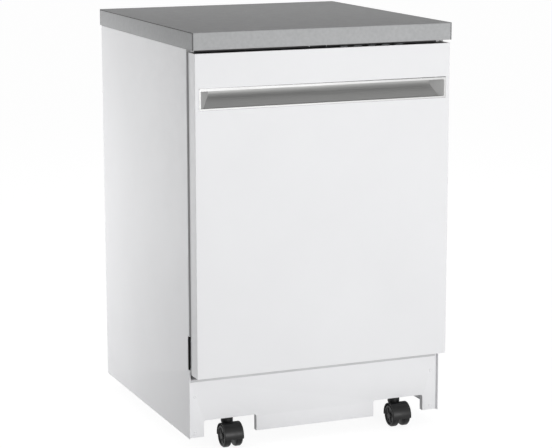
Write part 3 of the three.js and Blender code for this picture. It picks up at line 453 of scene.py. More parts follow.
def add_lathe(build, centre, axis, profile, segments, closed=False):
    """Turns (radius, distance along the axis) pairs about an axis."""
    axis = Vector(axis).normalized()
    across = axis.orthogonal().normalized()
    outward = directions(across, axis.cross(across), segments)
    rings = []
    for radius, distance in profile:
        middle = centre + axis * distance
        if radius == 0:
            rings.append([build.verts.new(middle)])
        else:
            rings.append([build.verts.new(middle + way * radius) for way in outward])
    following = rings[1:] + (rings[:1] if closed else [])
    for ring, onward in zip(rings, following):
        for j in range(segments):
            k = (j + 1) % segments
            if len(ring) > 1 and len(onward) > 1:
                build.faces.new((ring[j], ring[k], onward[k], onward[j]))
            elif len(onward) > 1:
                build.faces.new((ring[0], onward[k], onward[j]))
            elif len(ring) > 1:
                build.faces.new((ring[j], ring[k], onward[0]))


def soft_profile(points, radius, steps, closed=False):
    """A lathe profile in millimetres with its corners rounded, in metres."""
    corners = [Vector((r * MM, d * MM, 0)) for r, d in points]
    return [(p.x, p.y) for p in filleted(corners, radius * MM, steps, closed)]


def folded_back(build):
    """Counts the triangles that face against their own face, as where its outline meets itself."""
    build.normal_update()
    count = 0
    for loops in build.calc_loop_triangles():
        first, second, third = (loop.vert.co for loop in loops)
        facing = (second - first).cross(third - first)
        if facing.dot(loops[0].face.normal) < -SMALLEST_FOLD:
            count += 1
    return count


def soften(build, width, segments, pick=None):
    """Rounds the sharp edges that pick accepts, less widely where a face would fold back."""
    allowed = folded_back(build)
    unsoftened = bpy.data.meshes.new("unsoftened")
    build.to_mesh(unsoftened)
    for _ in range(SOFTEN_TRIES):
        edges = [
            edge
            for edge in build.edges
            if len(edge.link_faces) == 2
            and edge.calc_face_angle(0) > SHARP_ABOVE
            and (pick is None or pick(edge))
        ]
        if not edges:
            break
        bmesh.ops.bevel(
            build, geom=edges, offset=width, segments=segments, profile=0.5,
            affect="EDGES", clamp_overlap=True,
        )
        if folded_back(build) <= allowed:
            break
        width *= SOFTEN_STEP
        build.clear()
        build.from_mesh(unsoftened)
    bpy.data.meshes.remove(unsoftened)


def object_from(name, build):
    """Makes an object of a finished mesh, smooth except at its sharp edges."""
    bmesh.ops.recalc_face_normals(build, faces=build.faces)
    for face in build.faces:
        face.smooth = True
    for edge in build.edges:
        edge.smooth = len(edge.link_faces) == 2 and edge.calc_face_angle(0) < SMOOTH_BELOW
    mesh = bpy.data.meshes.new(name)
    build.to_mesh(mesh)
    build.free()
    obj = bpy.data.objects.new(name, mesh)
    scene.collection.objects.link(obj)
    return obj


def finish_piece(obj, body, slot, replaced=(), material=None):
    """Gives a new object its material, the slot's finish unless another is given, and its body, and
    hides what it stands for.
    """
    obj.data.materials.append(material or FINISH[slot])
    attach(obj, body)
    if replaced:
        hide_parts(*replaced)
    return obj


def add_piece(name, build, body, slot, replaced=(), material=None):
    """Makes a piece of a mesh that was built from scratch."""
    finish_piece(object_from(name, build), body, slot, replaced, material)


def merged_copy(node):
    """The node's mesh with its triangles joined back into whole flat faces."""
    build = bmesh.new()
    build.from_mesh(frame["nodes"][node].data)
    bmesh.ops.remove_doubles(build, verts=build.verts, dist=MERGE_DISTANCE)
    bmesh.ops.dissolve_limit(build, angle_limit=FLAT_WITHIN, verts=build.verts, edges=build.edges)
    return build


def rounded(node, *passes, material=None):
    """Stands in for a node with its edges rounded: a pass is (width in mm, segments[, pick])."""
    build = merged_copy(node)
    for width, *how in passes:
        soften(build, width * MM, *how)
    obj = object_from(f"{node}_shell", build)
    return finish_piece(obj, BODY_OF[node], SLOT_OF[node], (node,), material)


def near(value, *targets, slack=0.2 * MM):
    return any(abs(value - target) < slack for target in targets)


def both(edge, test):
    """Whether both ends of an edge pass a test."""
    return all(test(vert.co) for vert in edge.verts)


def add_screw(build, place, axis, radius, height=1.4):
    """A pan-head screw with a round socket in its head; place and sizes are in millimetres."""
    profile = soft_profile(
        [
            (0, height * 0.35),
            (radius * 0.42, height * 0.35),
            (radius * 0.46, height),
            (radius * 0.72, height),
            (radius, height * 0.45),
            (radius, 0),
            (0, 0),
        ],
        0.3, 2,
    )
    add_lathe(build, at(*place), axis, profile, 20)


# ---------------------------------------------------------------- worktop

TOP_LOW, TOP_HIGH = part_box("worktop")
SHEET = 1.4 * MM
BAND = 1.0 * MM
FRONT_SEAM = 0.1 * MM
SIDE_SEAM = 1.2 * MM
CORNER = 2.3 * MM
FRONT_TOP = TOP_HIGH.z - SHEET - FRONT_SEAM
SIDE_TOP = TOP_HIGH.z - SHEET - SIDE_SEAM


def worktop_core():
    """The board under the sheet and inside the bands, darkened to paint the shade in the seams round
    the sheet.
    """
    inset = Vector((BAND, BAND, 0))
    build = bmesh.new()
    add_block(build, TOP_LOW + inset, TOP_HIGH - inset - Vector((0, 0, SHEET)))
    add_piece("worktop_core", build, "cabinet", "worktop", ("worktop",), BOARD_CORE_SEAM_SHADE)


def worktop_sheet():
    """The laminate on top, which runs out to the slab's edges."""
    build = bmesh.new()
    add_block(build, Vector((TOP_LOW.x, TOP_LOW.y, TOP_HIGH.z - SHEET)), TOP_HIGH)
    soften(build, 1.1 * MM, 3, lambda edge: both(edge, lambda p: near(p.z, TOP_HIGH.z)))
    add_piece("worktop_sheet", build, "cabinet", "worktop")


def on_side(point):
    return near(point.x, TOP_LOW.x, TOP_HIGH.x)


def on_end(point):
    return near(point.y, TOP_LOW.y, TOP_HIGH.y)


def worktop_bands():
    """A band along each edge, in a paler copy of the top's laminate that paints light on the edges.
    It leaves a seam under the sheet, dark from the core's painted shade.
    """
    low, high = TOP_LOW, TOP_HIGH
    build = bmesh.new()
    for front, back in ((low.y, low.y + BAND), (high.y - BAND, high.y)):
        add_block(build, (low.x + CORNER, front, low.z), (high.x - CORNER, back, FRONT_TOP))
    for left, right in ((low.x, low.x + BAND), (high.x - BAND, high.x)):
        add_block(build, (left, low.y + CORNER, low.z), (right, high.y - CORNER, SIDE_TOP))
    soften(build, 0.5 * MM, 3, lambda edge: both(edge, lambda p: on_side(p) or on_end(p)))
    add_piece("worktop_bands", build, "cabinet", "worktop", material=EDGE_BAND_PAINTED_LIGHT)


def worktop_corners():
    """A dark strip at each corner, between the bands, which paints the shade of the rounded corner.
    """
    low, high = TOP_LOW, TOP_HIGH
    build = bmesh.new()
    for left, right in ((low.x, low.x + CORNER), (high.x - CORNER, high.x)):
        for front, back in ((low.y, low.y + CORNER), (high.y - CORNER, high.y)):
            add_block(build, (left, front, low.z), (right, back, FRONT_TOP))
    soften(build, 0.7 * MM, 4, lambda edge: both(edge, lambda p: on_side(p) and on_end(p)))
    add_piece("worktop_corners", build, "cabinet", "worktop", material=CORNER_PAINTED_SHADE)


worktop_core()
worktop_sheet()
worktop_bands()
worktop_corners()


# ---------------------------------------------------------------- casing

KICK_SETBACK = 8
REAR_FACE = (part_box("rear_panel")[1].y - FRONT) / MM
FORWARD = (0, -1, 0)
BACKWARD = (0, 1, 0)


def side_panels():
    """The side panels, with wider folds along the edges of their outer faces."""
    for node in ("left_side_panel", "right_side_panel"):
        low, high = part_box(node)
        outer = low.x if node.startswith("left") else high.x

        def fold(edge):
            return both(edge, lambda p: near(p.x, outer) and near(p.y, low.y, high.y))

        rounded(node, (0.85, 4, fold), (0.15, 1))


def top_gap_shade_strips():
    """Dark strips in the gap over the door, on both sides of the latch. They shut light out of the
    gap, and their dark colour paints its shade.
    """
    build = bmesh.new()
    for side in (-1, 1):
        add_side_block(build, side, across=(22, 292), along=(-0.9, 1.2), upright=(896, 907.4))
    soften(build, 0.4 * MM, 2)
    add_piece("top_gap_shade_strips", build, "cabinet", "seal_rubber", material=TOP_GAP_SHADE)


def side_gap_shade_strips():
    """Grey strips between the door and the front faces of the side panels, which paint the shade in
    those gaps.
    """
    build = bmesh.new()
    for side in (-1, 1):
        add_side_block(build, side, across=(300.5, 310.2), along=(-0.7, -0.1), upright=(269, 907.4))
    soften(build, 0.2 * MM, 2)
    add_piece("side_gap_shade_strips", build, "cabinet", "grey_plastic", material=SIDE_GAP_SHADE)


def kick_top_shadow_strip():
    """A light grey strip, darker than the enamel, on the kick panel's face along its top edge, which
    paints the door's shadow there.
    """
    build = bmesh.new()
    add_block(build, at(-305.5, 7.1, 159.4), at(305.5, 8.1, 165.2))
    soften(build, 0.4 * MM, 2)
    add_piece("kick_top_shadow_strip", build, "cabinet", "grey_plastic", material=KICK_TOP_SHADOW)


def notch_shade_linings():
    """Matte black linings of the notches in the side panels, beside the door's foot, which paint the
    shade inside them.
    """
    build = bmesh.new()
    for side in (-1, 1):
        add_side_block(build, side, across=(307.5, 309.9), along=(0.4, 8.4), upright=(190.5, 267.5))
    soften(build, 0.5 * MM, 2)
    add_piece("notch_shade_linings", build, "cabinet", "black_plastic", material=NOTCH_SHADE)


def kick():
    """The kick panel with two screws at each of its ends."""
    rounded("kick_panel", (0.5, 2))
    build = bmesh.new()
    for x in (-295, 295):
        for z in (40, 125):
            add_screw(build, (x, KICK_SETBACK, z), FORWARD, 4.2, 1.5)
    add_piece("kick_screws", build, "cabinet", "white_paint")


def rear_beads():
    """Stiffening beads, as bars sunk in the rear sheet."""
    build = bmesh.new()
    for x in (-225, -112, 0, 112, 225):
        add_tube(build, [at(x, REAR_FACE - 1, 322), at(x, REAR_FACE - 1, 760)], 3.2 * MM, 20)
    soften(build, 1.2 * MM, 3)
    add_piece("rear_beads", build, "cabinet", "white_paint")


def rear_screws():
    """Screws round the rear sheet's edge and beside the hose bay."""
    places = [(x, z) for x in (-302, 302) for z in range(70, 880, 150)]
    places += [(x, 895) for x in range(-200, 201, 100)]
    places += [(x, 45) for x in (-200, 200)]
    build = bmesh.new()
    for x, z in places:
        add_screw(build, (x, REAR_FACE, z), BACKWARD, 3.8)
    for x in (-162, 162):
        for z in (130, 234):
            add_screw(build, (x, REAR_FACE, z), BACKWARD, 3.4)
    add_piece("rear_screws", build, "cabinet", "zinc_steel")


def rear_vents():
    """A stack of seven louvres near the rear sheet's top."""
    build = bmesh.new()
    for row in range(7):
        z = 800 + row * 9
        add_block(build, at(-60, REAR_FACE, z), at(60, REAR_FACE + 2.4, z + 3.2))
    soften(build, 1.3 * MM, 3)
    add_piece("rear_vents", build, "cabinet", "white_paint")


def hose_bay():
    """The bay with soft corners, and a rim that trims the cut edge of the rear sheet."""
    rounded("hose_bay", (1.2, 2))
    low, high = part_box("hose_bay")
    x = high.x / MM
    bottom = low.z / MM
    top = high.z / MM
    proud = REAR_FACE + 1.0
    corners = [at(-x, proud, bottom), at(x, proud, bottom), at(x, proud, top), at(-x, proud, top)]
    build = bmesh.new()
    add_tube(build, filleted(corners, 6 * MM, 4, True), 1.8 * MM, 12, True)
    add_piece("bay_rim", build, "cabinet", "grey_plastic")


side_panels()
top_gap_shade_strips()
side_gap_shade_strips()
kick_top_shadow_strip()
notch_shade_linings()
kick()
rounded("rear_panel", (0.3, 1))
rear_beads()
rear_screws()
rear_vents()
hose_bay()
for node_name, width in {
    "base_frame": 0.8,
    "top_frame": 0.4,
    "control_console": 0.6,
    "door_latch": 1.0,
    "inlet_valve": 1.5,
    "left_hinge_bracket": 0.8,
    "right_hinge_bracket": 0.8,
    "left_hinge_arm": 0.8,
    "right_hinge_arm": 0.8,
    "left_rack_track": 0.4,
    "right_rack_track": 0.4,
    "left_rack_rail": 0.4,
    "right_rack_rail": 0.4,
}.items():
    rounded(node_name, (width, 2))
rounded("door_strike", (0.5, 2), material=STRIKE_COATING)


# ---------------------------------------------------------------- door

BUTTONS = 5
LONG_EDGE = 0.2
LIP_DROP = 12 * MM
LIP_HEIGHT = 6 * MM
LIP_SLACK = 0.6 * MM
RIM_DEPTH = 3 * MM


def door_outer():
    """The tray with wide bends where two of its outer faces meet."""
    low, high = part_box("door_outer_panel")

    def outer_fold(edge):
        faces = (
            both(edge, lambda p: near(p.x, low.x, high.x)),
            both(edge, lambda p: near(p.y, low.y)),
            both(edge, lambda p: near(p.z, low.z)),
        )
        return sum(faces) > 1

    rounded("door_outer_panel", (2.0, 4, outer_fold), (0.3, 1))


def handle():
    """The grip recess: a rolled lip over its mouth, a satin rim, and a back with a soft bend. It is
    one metal insert in four tones: the lip paler as a painted highlight, the end walls paler as
    painted light, and the back darker as painted shade of the recess.
    """
    low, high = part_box("handle_pocket")
    lip_top = high.z - LIP_DROP
    lip_bottom = lip_top - LIP_HEIGHT

    def is_long(edge):
        return abs(edge.verts[0].co.x - edge.verts[1].co.x) > LONG_EDGE

    def lip(edge):
        def on_lip(p):
            return near(p.y, low.y) and near(p.z, lip_top, lip_bottom, slack=LIP_SLACK)
        return is_long(edge) and both(edge, on_lip)

    def bend(edge):
        def at_bend(p):
            return low.y + 25 * MM < p.y < low.y + 27 * MM and p.z < lip_bottom - 5 * MM
        return is_long(edge) and both(edge, at_bend)

    obj = rounded("handle_pocket", (2.4, 5, lip), (7, 6, bend), (0.5, 2))
    # Faces get the lip's painted highlight, the satin rim or the end walls' painted light; the rest
    # keep the back's painted shade.
    for material in (HANDLE_LIP_HIGHLIGHT, HANDLE_RIM, HANDLE_END_PAINTED_LIGHT):
        obj.data.materials.append(material)
    for face in obj.data.polygons:
        if face.center.y < low.y + RIM_DEPTH:
            over_mouth = lip_bottom - 0.3 * MM < face.center.z
            face.material_index = 1 if over_mouth else 2
        elif abs(face.normal.x) > 0.5 and face.normal.y < -0.5:
            face.material_index = 3


def door_inner():
    """The liner with soft corners, apart from those of the dispenser's window."""
    def corner(edge):
        deep = any(vert.co.y > FRONT + 5 * MM for vert in edge.verts)
        in_window = both(edge, lambda p: abs(p.x) < 90 * MM)
        return deep and not in_window

    rounded("door_inner_panel", (4.0, 4, corner), (0.3, 1))


door_outer()
handle()
door_inner()
for number in range(1, BUTTONS + 1):
    rounded(f"button_{number}", (0.6, 3))
rounded("dispenser_body", (1.2, 3))
rounded("dispenser_lid", (0.9, 3))
rounded("rinse_aid_cap", (0.8, 2))


# ---------------------------------------------------------------- casters

# Sizes in this section are in millimetres, and turns in degrees from straight back.
WHEEL_RADIUS = 26.5
WHEEL_INNER = 6.0
WHEEL_OUTER = 22.5
WHEEL_BORE = 8
SPOKES = 6
HOOD_INNER = 27.4
HOOD_OUTER = 29.9
HOOD_EDGE = 28.2
HOOD_FIRST = -7
HOOD_LAST = 187
WEB_HALF = 4.9
WEB_INNER = 6.5
TRAIL = 22.0
STEM = 30.0
COLLAR_RIBS = 12
RIB_REACH = 13.4
CASTER_ACROSS = 210
CASTER_ROWS = (("front", 32), ("rear", 549))
IN_YZ = (Vector((0, 1, 0)), Vector((0, 0, 1)))


def add_tread(build, centre, side):
    """One wheel with soft shoulders and a dished face."""
    shoulder = WHEEL_OUTER - 0.4
    dish = WHEEL_OUTER - 2.6
    profile = soft_profile(
        [
            (WHEEL_BORE, WHEEL_INNER),
            (WHEEL_RADIUS - 2, WHEEL_INNER),
            (WHEEL_RADIUS - 0.15, WHEEL_INNER + 3),
            (WHEEL_RADIUS - 0.15, WHEEL_OUTER - 4),
            (WHEEL_RADIUS - 3, shoulder),
            (20, shoulder),
            (18.5, dish),
            (WHEEL_BORE, dish),
        ],
        1.4, 3, True,
    )
    add_lathe(build, centre, (side, 0, 0), profile, 56, True)


def add_hub(build, centre, side):
    """A hub cap, and spokes that stand proud of the wheel's dish."""
    face = WHEEL_OUTER - 0.2
    cap = soft_profile(
        [
            (0, WHEEL_INNER),
            (8.2, WHEEL_INNER),
            (8.2, WHEEL_OUTER - 1.2),
            (6.4, face),
            (0, face),
        ],
        0.8, 3,
    )
    add_lathe(build, centre, (side, 0, 0), cap, 40)
    start = centre + Vector((side * (WHEEL_OUTER - 2.4) * MM, 0, 0))
    for way in directions(*IN_YZ, SPOKES):
        add_tube(build, [start + way * 8.5 * MM, start + way * 17.5 * MM], 1.3 * MM, 10)


def caster_wheels(name, x, y):
    """Two wheels and their hubs on one axle."""
    tread = bmesh.new()
    hubs = bmesh.new()
    centre = at(x, y, WHEEL_RADIUS)
    for side in (-1, 1):
        add_tread(tread, centre, side)
        add_hub(hubs, centre, side)
    axle_half = Vector((7 * MM, 0, 0))
    add_tube(hubs, [centre - axle_half, centre + axle_half], 3 * MM, 16)
    node = f"caster_wheels_{name}"
    body = f"wheels_{name}"
    add_piece(f"wheel_treads_{name}", tread, body, "caster_black", (node,), WHEEL_TREAD)
    add_piece(f"wheel_hubs_{name}", hubs, body, "caster_black", material=HUB_GREY)


def add_arch(build, centre, half, inner, outer, steps, edge=None):
    """Part of a ring about an axis along X; where it has an edge radius, it thins to its ends."""
    rings = []
    for i in range(steps + 1):
        turn = math.radians(HOOD_FIRST + (HOOD_LAST - HOOD_FIRST) * i / steps)
        reach = Vector((0, math.cos(turn), math.sin(turn))) * MM
        thinned = abs(2 * i / steps - 1) ** 2.5
        rim = outer + ((edge or outer) - outer) * thinned
        ring = []
        for x, radius in ((-half, inner), (half, inner), (half, rim), (-half, rim)):
            ring.append(build.verts.new(centre + Vector((x * MM, 0, 0)) + reach * radius))
        rings.append(ring)
    join_rings(build, rings, closed=False)


def caster_cover(name, x, y):
    """A cover over both wheels with round shoulders, and a web between them."""
    node = f"caster_hood_{name}"
    centre = at(x, y - TRAIL, WHEEL_RADIUS)
    build = bmesh.new()
    add_arch(build, centre, WHEEL_OUTER, HOOD_INNER, HOOD_OUTER, 44, HOOD_EDGE)

    def shoulder(edge):
        return both(edge, lambda p: near(abs(p.x - centre.x), WHEEL_OUTER * MM, slack=0.1 * MM))

    soften(build, 0.9 * MM, 4, shoulder)
    add_arch(build, centre, WEB_HALF, WEB_INNER, HOOD_INNER + 0.4, 40)
    add_piece(f"{node}_cover", build, f"caster_{name}", "caster_black", (node,))


def caster_collar(name, x, y):
    """A ribbed collar with the stem that the caster swivels on."""
    node = f"caster_hood_{name}"
    foot = 2 * WHEEL_RADIUS - 3
    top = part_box(node)[1].z / MM - STEM
    profile = soft_profile(
        [
            (0, foot),
            (12.5, foot),
            (14, foot + 4),
            (14, top - 4.4),
            (12.6, top - 3.2),
            (9, top - 3.0),
            (9, top - 0.6),
            (5, top - 0.4),
            (5, top + STEM - 0.1),
            (0, top + STEM - 0.1),
        ],
        0.7, 3,
    )
    build = bmesh.new()
    add_lathe(build, at(x, y, 0), (0, 0, 1), profile, 44)
    for rib in range(COLLAR_RIBS):
        turn = 2 * math.pi / COLLAR_RIBS * rib
        rib_x = x + RIB_REACH * math.cos(turn)
        rib_y = y + RIB_REACH * math.sin(turn)
        add_tube(build, [at(rib_x, rib_y, foot + 6), at(rib_x, rib_y, top - 5.5)], 0.6 * MM, 8)
    add_piece(f"{node}_collar", build, f"caster_{name}", "caster_black")


for row, depth in CASTER_ROWS:
    for hand, across in (("left", -CASTER_ACROSS), ("right", CASTER_ACROSS)):
        caster_cover(f"{row}_{hand}", across, depth)
        caster_collar(f"{row}_{hand}", across, depth)
        caster_wheels(f"{row}_{hand}", across, depth - TRAIL)


# ---------------------------------------------------------------- tub and what is in it

TUB_MIDDLE = 300
TUB_INNER = 279 * MM
TUB_OUTER = 280 * MM
TUB_EDGE = 0.3
NEAR_CEILING = 0.8


def tub():
    """The tub with wide soft corners along its ceiling."""
    def top_corner(reach):
        def test(edge):
            first, second = edge.verts[0].co, edge.verts[1].co
            runs_back = abs(first.y - second.y) > TUB_EDGE
            return runs_back and both(edge, lambda p: near(abs(p.x), reach) and p.z > NEAR_CEILING)
        return test

    rounded("tub", (16, 6, top_corner(TUB_OUTER)), (16, 6, top_corner(TUB_INNER)), (0.4, 1))


def tube_piece(name, node, points, radius, bend, sides):
    """A round pipe that stands in for a node, through points in millimetres."""
    build = bmesh.new()
    add_tube(build, filleted([at(*point) for point in points], bend * MM, 6), radius * MM, sides)
    add_piece(name, build, "cabinet", SLOT_OF[node], (node,))


def heater():
    """The heating rod round the tub's floor, which dips to its terminals, and its clips."""
    z = 265.9
    reach = 189.8
    front = TUB_MIDDLE - reach
    rear = TUB_MIDDLE + reach
    points = [
        (-30, rear + 11, z - 4.5),
        (-34, rear, z),
        (-reach, rear, z),
        (-reach, front, z),
        (reach, front, z),
        (reach, rear, z),
        (34, rear, z),
        (30, rear + 11, z - 4.5),
    ]
    tube_piece("heater_rod", "heating_element", points, radius=3.8, bend=60, sides=16)
    build = bmesh.new()
    for x, y in ((-reach, 240), (-reach, 360), (reach, 240), (reach, 360), (0, front)):
        add_block(build, at(x - 5, y - 5, 262.4), at(x + 5, y + 5, 264.4))
    soften(build, 0.6 * MM, 2)
    add_piece("heater_clips", build, "cabinet", "stainless")


def feed():
    """The pipe that climbs the tub's rear wall and runs forward under its ceiling."""
    low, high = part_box("feed_tube")
    y = (high.y - FRONT) / MM - 8
    z = high.z / MM - 8
    ahead = (low.y - FRONT) / MM
    points = [(0, y, low.z / MM), (0, y, z), (0, ahead, z)]
    tube_piece("feed_pipe", "feed_tube", points, radius=7.9, bend=26, sides=28)


def nozzles(name, body, z, reaches, up):
    """Raised rings round the jets of a spray arm."""
    build = bmesh.new()
    ring = soft_profile([(1.6, 0), (4.2, 0), (3.4, 1.2), (2.0, 1.2)], 0.25, 2, True)
    for side in (-1, 1):
        for i, reach in enumerate(reaches):
            offset = 6 if i % 2 else -6
            place = at(side * reach, TUB_MIDDLE + side * offset, z)
            add_lathe(build, place, (0, 0, up), ring, 20, True)
    add_piece(name, build, body, "grey_plastic")


def shower():
    """The ceiling shower: a soft-edged dome with a ring of jets."""
    rounded("top_shower", (1.6, 3))
    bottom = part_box("top_shower")[0].z / MM
    jet = soft_profile([(0, 0), (2.2, 0), (1.6, 0.8), (0, 0.8)], 0.2, 2)
    build = bmesh.new()
    for i in range(6):
        turn = math.pi / 3 * i
        place = at(12 * math.cos(turn), TUB_MIDDLE + 12 * math.sin(turn), bottom)
        add_lathe(build, place, (0, 0, -1), jet, 16)
    add_piece("shower_jets", build, "cabinet", "grey_plastic")


def filter_piece():
    """The filter with a mesh of raised rings and spokes on its plate."""
    rounded("filter", (0.9, 2))
    plate = 258.9
    wire = 0.8 * MM

    def on_plate(radius, turn):
        return at(radius * math.cos(turn), TUB_MIDDLE + radius * math.sin(turn), plate)

    build = bmesh.new()
    for radius in range(30, 71, 8):
        ring = [on_plate(radius, i * math.pi / 28) for i in range(56)]
        add_tube(build, ring, wire, 8, True)
    for spoke in range(24):
        turn = math.pi / 12 * spoke
        add_tube(build, [on_plate(20, turn), on_plate(76, turn)], wire, 8)
    add_piece("filter_mesh", build, "cabinet", "stainless")


tub()
heater()
feed()
shower()
filter_piece()
rounded("tub_gasket", (2.6, 4))
rounded("float_dome", (1.0, 3))
rounded("sump", (1.5, 2))
rounded("wash_pump", (1.5, 2))
rounded("drain_pump", (1.2, 2))
rounded("cord_gland", (0.6, 2))
rounded("hose_gland", (0.8, 2))
rounded("lower_spray_arm", (3.2, 4))
rounded("middle_spray_arm", (3.2, 4))
nozzles("lower_arm_jets", "lower_spray_arm", 287.4, (48, 84, 118, 150, 180, 208), up=1)
nozzles("middle_arm_jets_up", "middle_spray_arm", 572.9, (46, 80, 112, 144, 174), up=1)
nozzles("middle_arm_jets_down", "middle_spray_arm", 562.1, (62, 96, 128, 160), up=-1)


# ---------------------------------------------------------------- racks

# Sizes in this section are in millimetres. WIRE is half a wire's thickness.
WIRE = 1.9
WIRE_STEP = 33
TINE_RADIUS = 1.6
TINE_STEP = 26
TINE_LEFT = -208
RACK_AXLE_Z = 278.3
RACK_AXLES = (("front", 245), ("rear", 485))
WHEEL_RIBS = 5
RAIL_Z = 620.3


def wire_basket(build, half, front, rim_front, rear, floor, rim):
    """Round-wire basket: a rim, two loops under it, and wires across and along its floor."""
    inset = WIRE + 0.2
    side = half - inset
    back = rear - inset
    low = floor + inset
    high = rim - inset
    lean = (rim_front - front) / (rim - floor)

    def face(z):
        return front + inset + lean * (z - floor)

    for z in (high, (low + high) / 2, low):
        loop = [at(-side, face(z), z), at(side, face(z), z), at(side, back, z), at(-side, back, z)]
        thick = 1.1 if z == high else 1
        add_tube(build, filleted(loop, 16 * MM, 5, True), WIRE * thick * MM, 10, True)
    count = round((back - face(low)) / WIRE_STEP)
    for i in range(1, count):
        y = face(low) + (back - face(low)) * i / count
        path = [at(-side, y, high), at(-side, y, low), at(side, y, low), at(side, y, high)]
        add_tube(build, filleted(path, 12 * MM, 4), WIRE * MM, 8)
    count = round(2 * side / WIRE_STEP)
    for i in range(1, count):
        x = -side + 2 * side * i / count
        path = [at(x, face(high), high), at(x, face(low), low), at(x, back, low), at(x, back, high)]
        add_tube(build, filleted(path, 12 * MM, 4), WIRE * MM, 8)


def tine(build, x, y, foot, height, lean=0):
    """A prong that stands on a basket's floor, with its tip set back by its lean."""
    base = at(x, y, foot)
    tip = at(x, y + lean, foot + height)
    add_tube(build, [base, base.lerp(tip, 0.97), tip], TINE_RADIUS * MM, 8)


def lower_rack_wires():
    """The basket with rows of plate tines, short ones beside the cutlery basket."""
    build = bmesh.new()
    wire_basket(build, half=243, front=112, rim_front=75, rear=546, floor=300, rim=430)
    for rows, count, height, lean in (
        (range(268, 519, 50), 17, 72, 10),
        ((160, 214), 10, 60, 8),
    ):
        for y in rows:
            for i in range(count):
                tine(build, TINE_LEFT + i * TINE_STEP, y, 302, height, lean)
    add_piece("lower_rack_wires", build, "lower_rack", "coated_wire", ("lower_rack",))


def lower_rack_hangers():
    """The plates at the basket's sides with the pins that its wheels turn on."""
    pin = soft_profile(
        [(0, 237), (3.4, 237), (3.4, 266.6), (5.4, 266.6), (5.4, 268), (0, 268)], 0.3, 2
    )
    build = bmesh.new()
    for side in (-1, 1):
        for _, y in RACK_AXLES:
            add_side_block(build, side, (236, 242), (y - 8, y + 8), (272.6, 320))
    soften(build, 1.6 * MM, 3)
    for side in (-1, 1):
        for _, y in RACK_AXLES:
            add_lathe(build, at(0, y, RACK_AXLE_Z), (side, 0, 0), pin, 20)
    add_piece("lower_rack_hangers", build, "lower_rack", "coated_wire")


def rack_wheel(hand, side, row, y):
    """A rack wheel with a rounded tread, a dished face and ribs."""
    node = f"rack_wheel_{hand}_{row}"
    centre = at(0, y, RACK_AXLE_Z)
    profile = soft_profile(
        [
            (3.9, 256.1), (15.9, 256.1), (15.9, 265.9), (13, 265.9),
            (12.4, 263), (7, 263), (6.6, 265.9), (3.9, 265.9),
        ],
        0.8, 3, True,
    )
    build = bmesh.new()
    add_lathe(build, centre, (side, 0, 0), profile, 40, True)
    start = centre + Vector((side * 263.4 * MM, 0, 0))
    for way in directions(*IN_YZ, WHEEL_RIBS):
        add_tube(build, [start + way * 6.8 * MM, start + way * 12.8 * MM], 1.2 * MM, 8)
    add_piece(f"{node}_shape", build, BODY_OF[node], SLOT_OF[node], (node,))


def upper_rack_wires():
    """The basket with three rows of short prongs."""
    build = bmesh.new()
    wire_basket(build, half=247, front=75, rim_front=75, rear=546, floor=588, rim=700)
    for x in (-150, 0, 150):
        for i in range(12):
            tine(build, x, 115 + i * 36, 590, 50)
    add_piece("upper_rack_wires", build, "upper_rack", "coated_wire", ("upper_rack",))


def upper_rack_bars():
    """Flat bars along the basket's sides, at the height of its rails."""
    build = bmesh.new()
    for side in (-1, 1):
        add_side_block(build, side, (245.2, 249.8), (76.5, 544.5), (RAIL_Z - 13.5, RAIL_Z + 13.5))
    soften(build, 1.6 * MM, 3)
    add_piece("upper_rack_bars", build, "upper_rack", "coated_wire")


def upper_rack_rollers():
    """The plate that carries the spray arm, and the rollers that run in the rails."""
    half = 33.5
    roller = soft_profile(
        [
            (0, 248), (4, 248), (4, 264.4), (11.5, 264.4), (11.5, 273.4),
            (8, 273.4), (7.4, 271.6), (3.6, 271.6), (3.2, 273), (0, 273),
        ],
        0.6, 3,
    )
    build = bmesh.new()
    add_block(build, at(-half, TUB_MIDDLE - half, 588.2), at(half, TUB_MIDDLE + half, 591.8))
    soften(build, 1.2 * MM, 3)
    for side in (-1, 1):
        for y in (130, 500):
            add_lathe(build, at(0, y, RAIL_Z), (side, 0, 0), roller, 36)
    add_piece("upper_rack_rollers", build, "upper_rack", "grey_plastic")


lower_rack_wires()
lower_rack_hangers()
for hand, side in (("left", -1), ("right", 1)):
    for row, y in RACK_AXLES:
        rack_wheel(hand, side, row, y)
upper_rack_wires()
upper_rack_bars()
upper_rack_rollers()


# ---------------------------------------------------------------- cutlery basket

CUTLERY_LOW, CUTLERY_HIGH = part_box("cutlery_basket")
CELLS = 3
WALL = 2.0 * MM
WALL_RIM = 5.0 * MM
BAR = 2.2 * MM
BAR_STEP = 11.5 * MM
WALL_LEVELS = 7


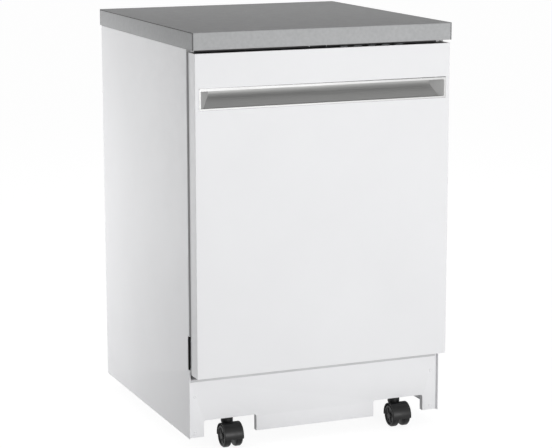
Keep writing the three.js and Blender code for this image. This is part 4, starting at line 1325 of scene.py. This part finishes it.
def wall_block(build, axis, start, along, upright):
    """A box in a wall square to an axis, from its ranges along the wall and upwards."""
    if axis == "x":
        add_block(build, (start, along[0], upright[0]), (start + WALL, along[1], upright[1]))
    else:
        add_block(build, (along[0], start, upright[0]), (along[1], start + WALL, upright[1]))


def lattice_wall(build, axis, start, first, last):
    """A wall square to an axis: a solid strip at its foot and top, and thin bars both ways."""
    bottom = CUTLERY_LOW.z
    top = CUTLERY_HIGH.z
    levels = [(bottom, bottom + WALL_RIM), (top - WALL_RIM, top)]
    for i in range(1, WALL_LEVELS):
        z = bottom + (top - bottom) * i / WALL_LEVELS
        levels.append((z, z + BAR))
    for level in levels:
        wall_block(build, axis, start, (first, last), level)
    count = round((last - first) / BAR_STEP)
    for i in range(count + 1):
        slide = first + (last - first - BAR) * i / count
        wall_block(build, axis, start, (slide, slide + BAR), (bottom, top))


def cutlery_lattice():
    """Three open cells with lattice walls and a lattice floor."""
    low, high = CUTLERY_LOW, CUTLERY_HIGH
    span = high - low
    cell = (span.x - WALL) / CELLS
    build = bmesh.new()
    for i in range(CELLS + 1):
        lattice_wall(build, "x", low.x + i * cell, low.y, high.y)
    for start in (low.y, high.y - WALL):
        lattice_wall(build, "y", start, low.x, high.x)
    for i in range(9):
        y = low.y + (span.y - BAR) * i / 8
        add_block(build, (low.x, y, low.z), (high.x, y + BAR, low.z + WALL))
    for i in range(13):
        x = low.x + (span.x - BAR) * i / 12
        add_block(build, (x, low.y, low.z), (x + BAR, high.y, low.z + WALL))
    add_piece("cutlery_lattice", build, "lower_rack", "grey_plastic", ("cutlery_basket",))


def cutlery_handle():
    """A carrying handle that bridges the basket."""
    low, high = CUTLERY_LOW, CUTLERY_HIGH
    middle = (low.y + high.y) / 2
    foot = high.z - 12 * MM
    top = high.z + 26 * MM
    left = low.x + 4 * MM
    right = high.x - 4 * MM
    path = [
        Vector((left, middle, foot)),
        Vector((left, middle, top)),
        Vector((right, middle, top)),
        Vector((right, middle, foot)),
    ]
    build = bmesh.new()
    add_tube(build, filleted(path, 14 * MM, 5), 3.0 * MM, 14)
    add_piece("cutlery_handle", build, "lower_rack", "grey_plastic")


cutlery_lattice()
cutlery_handle()
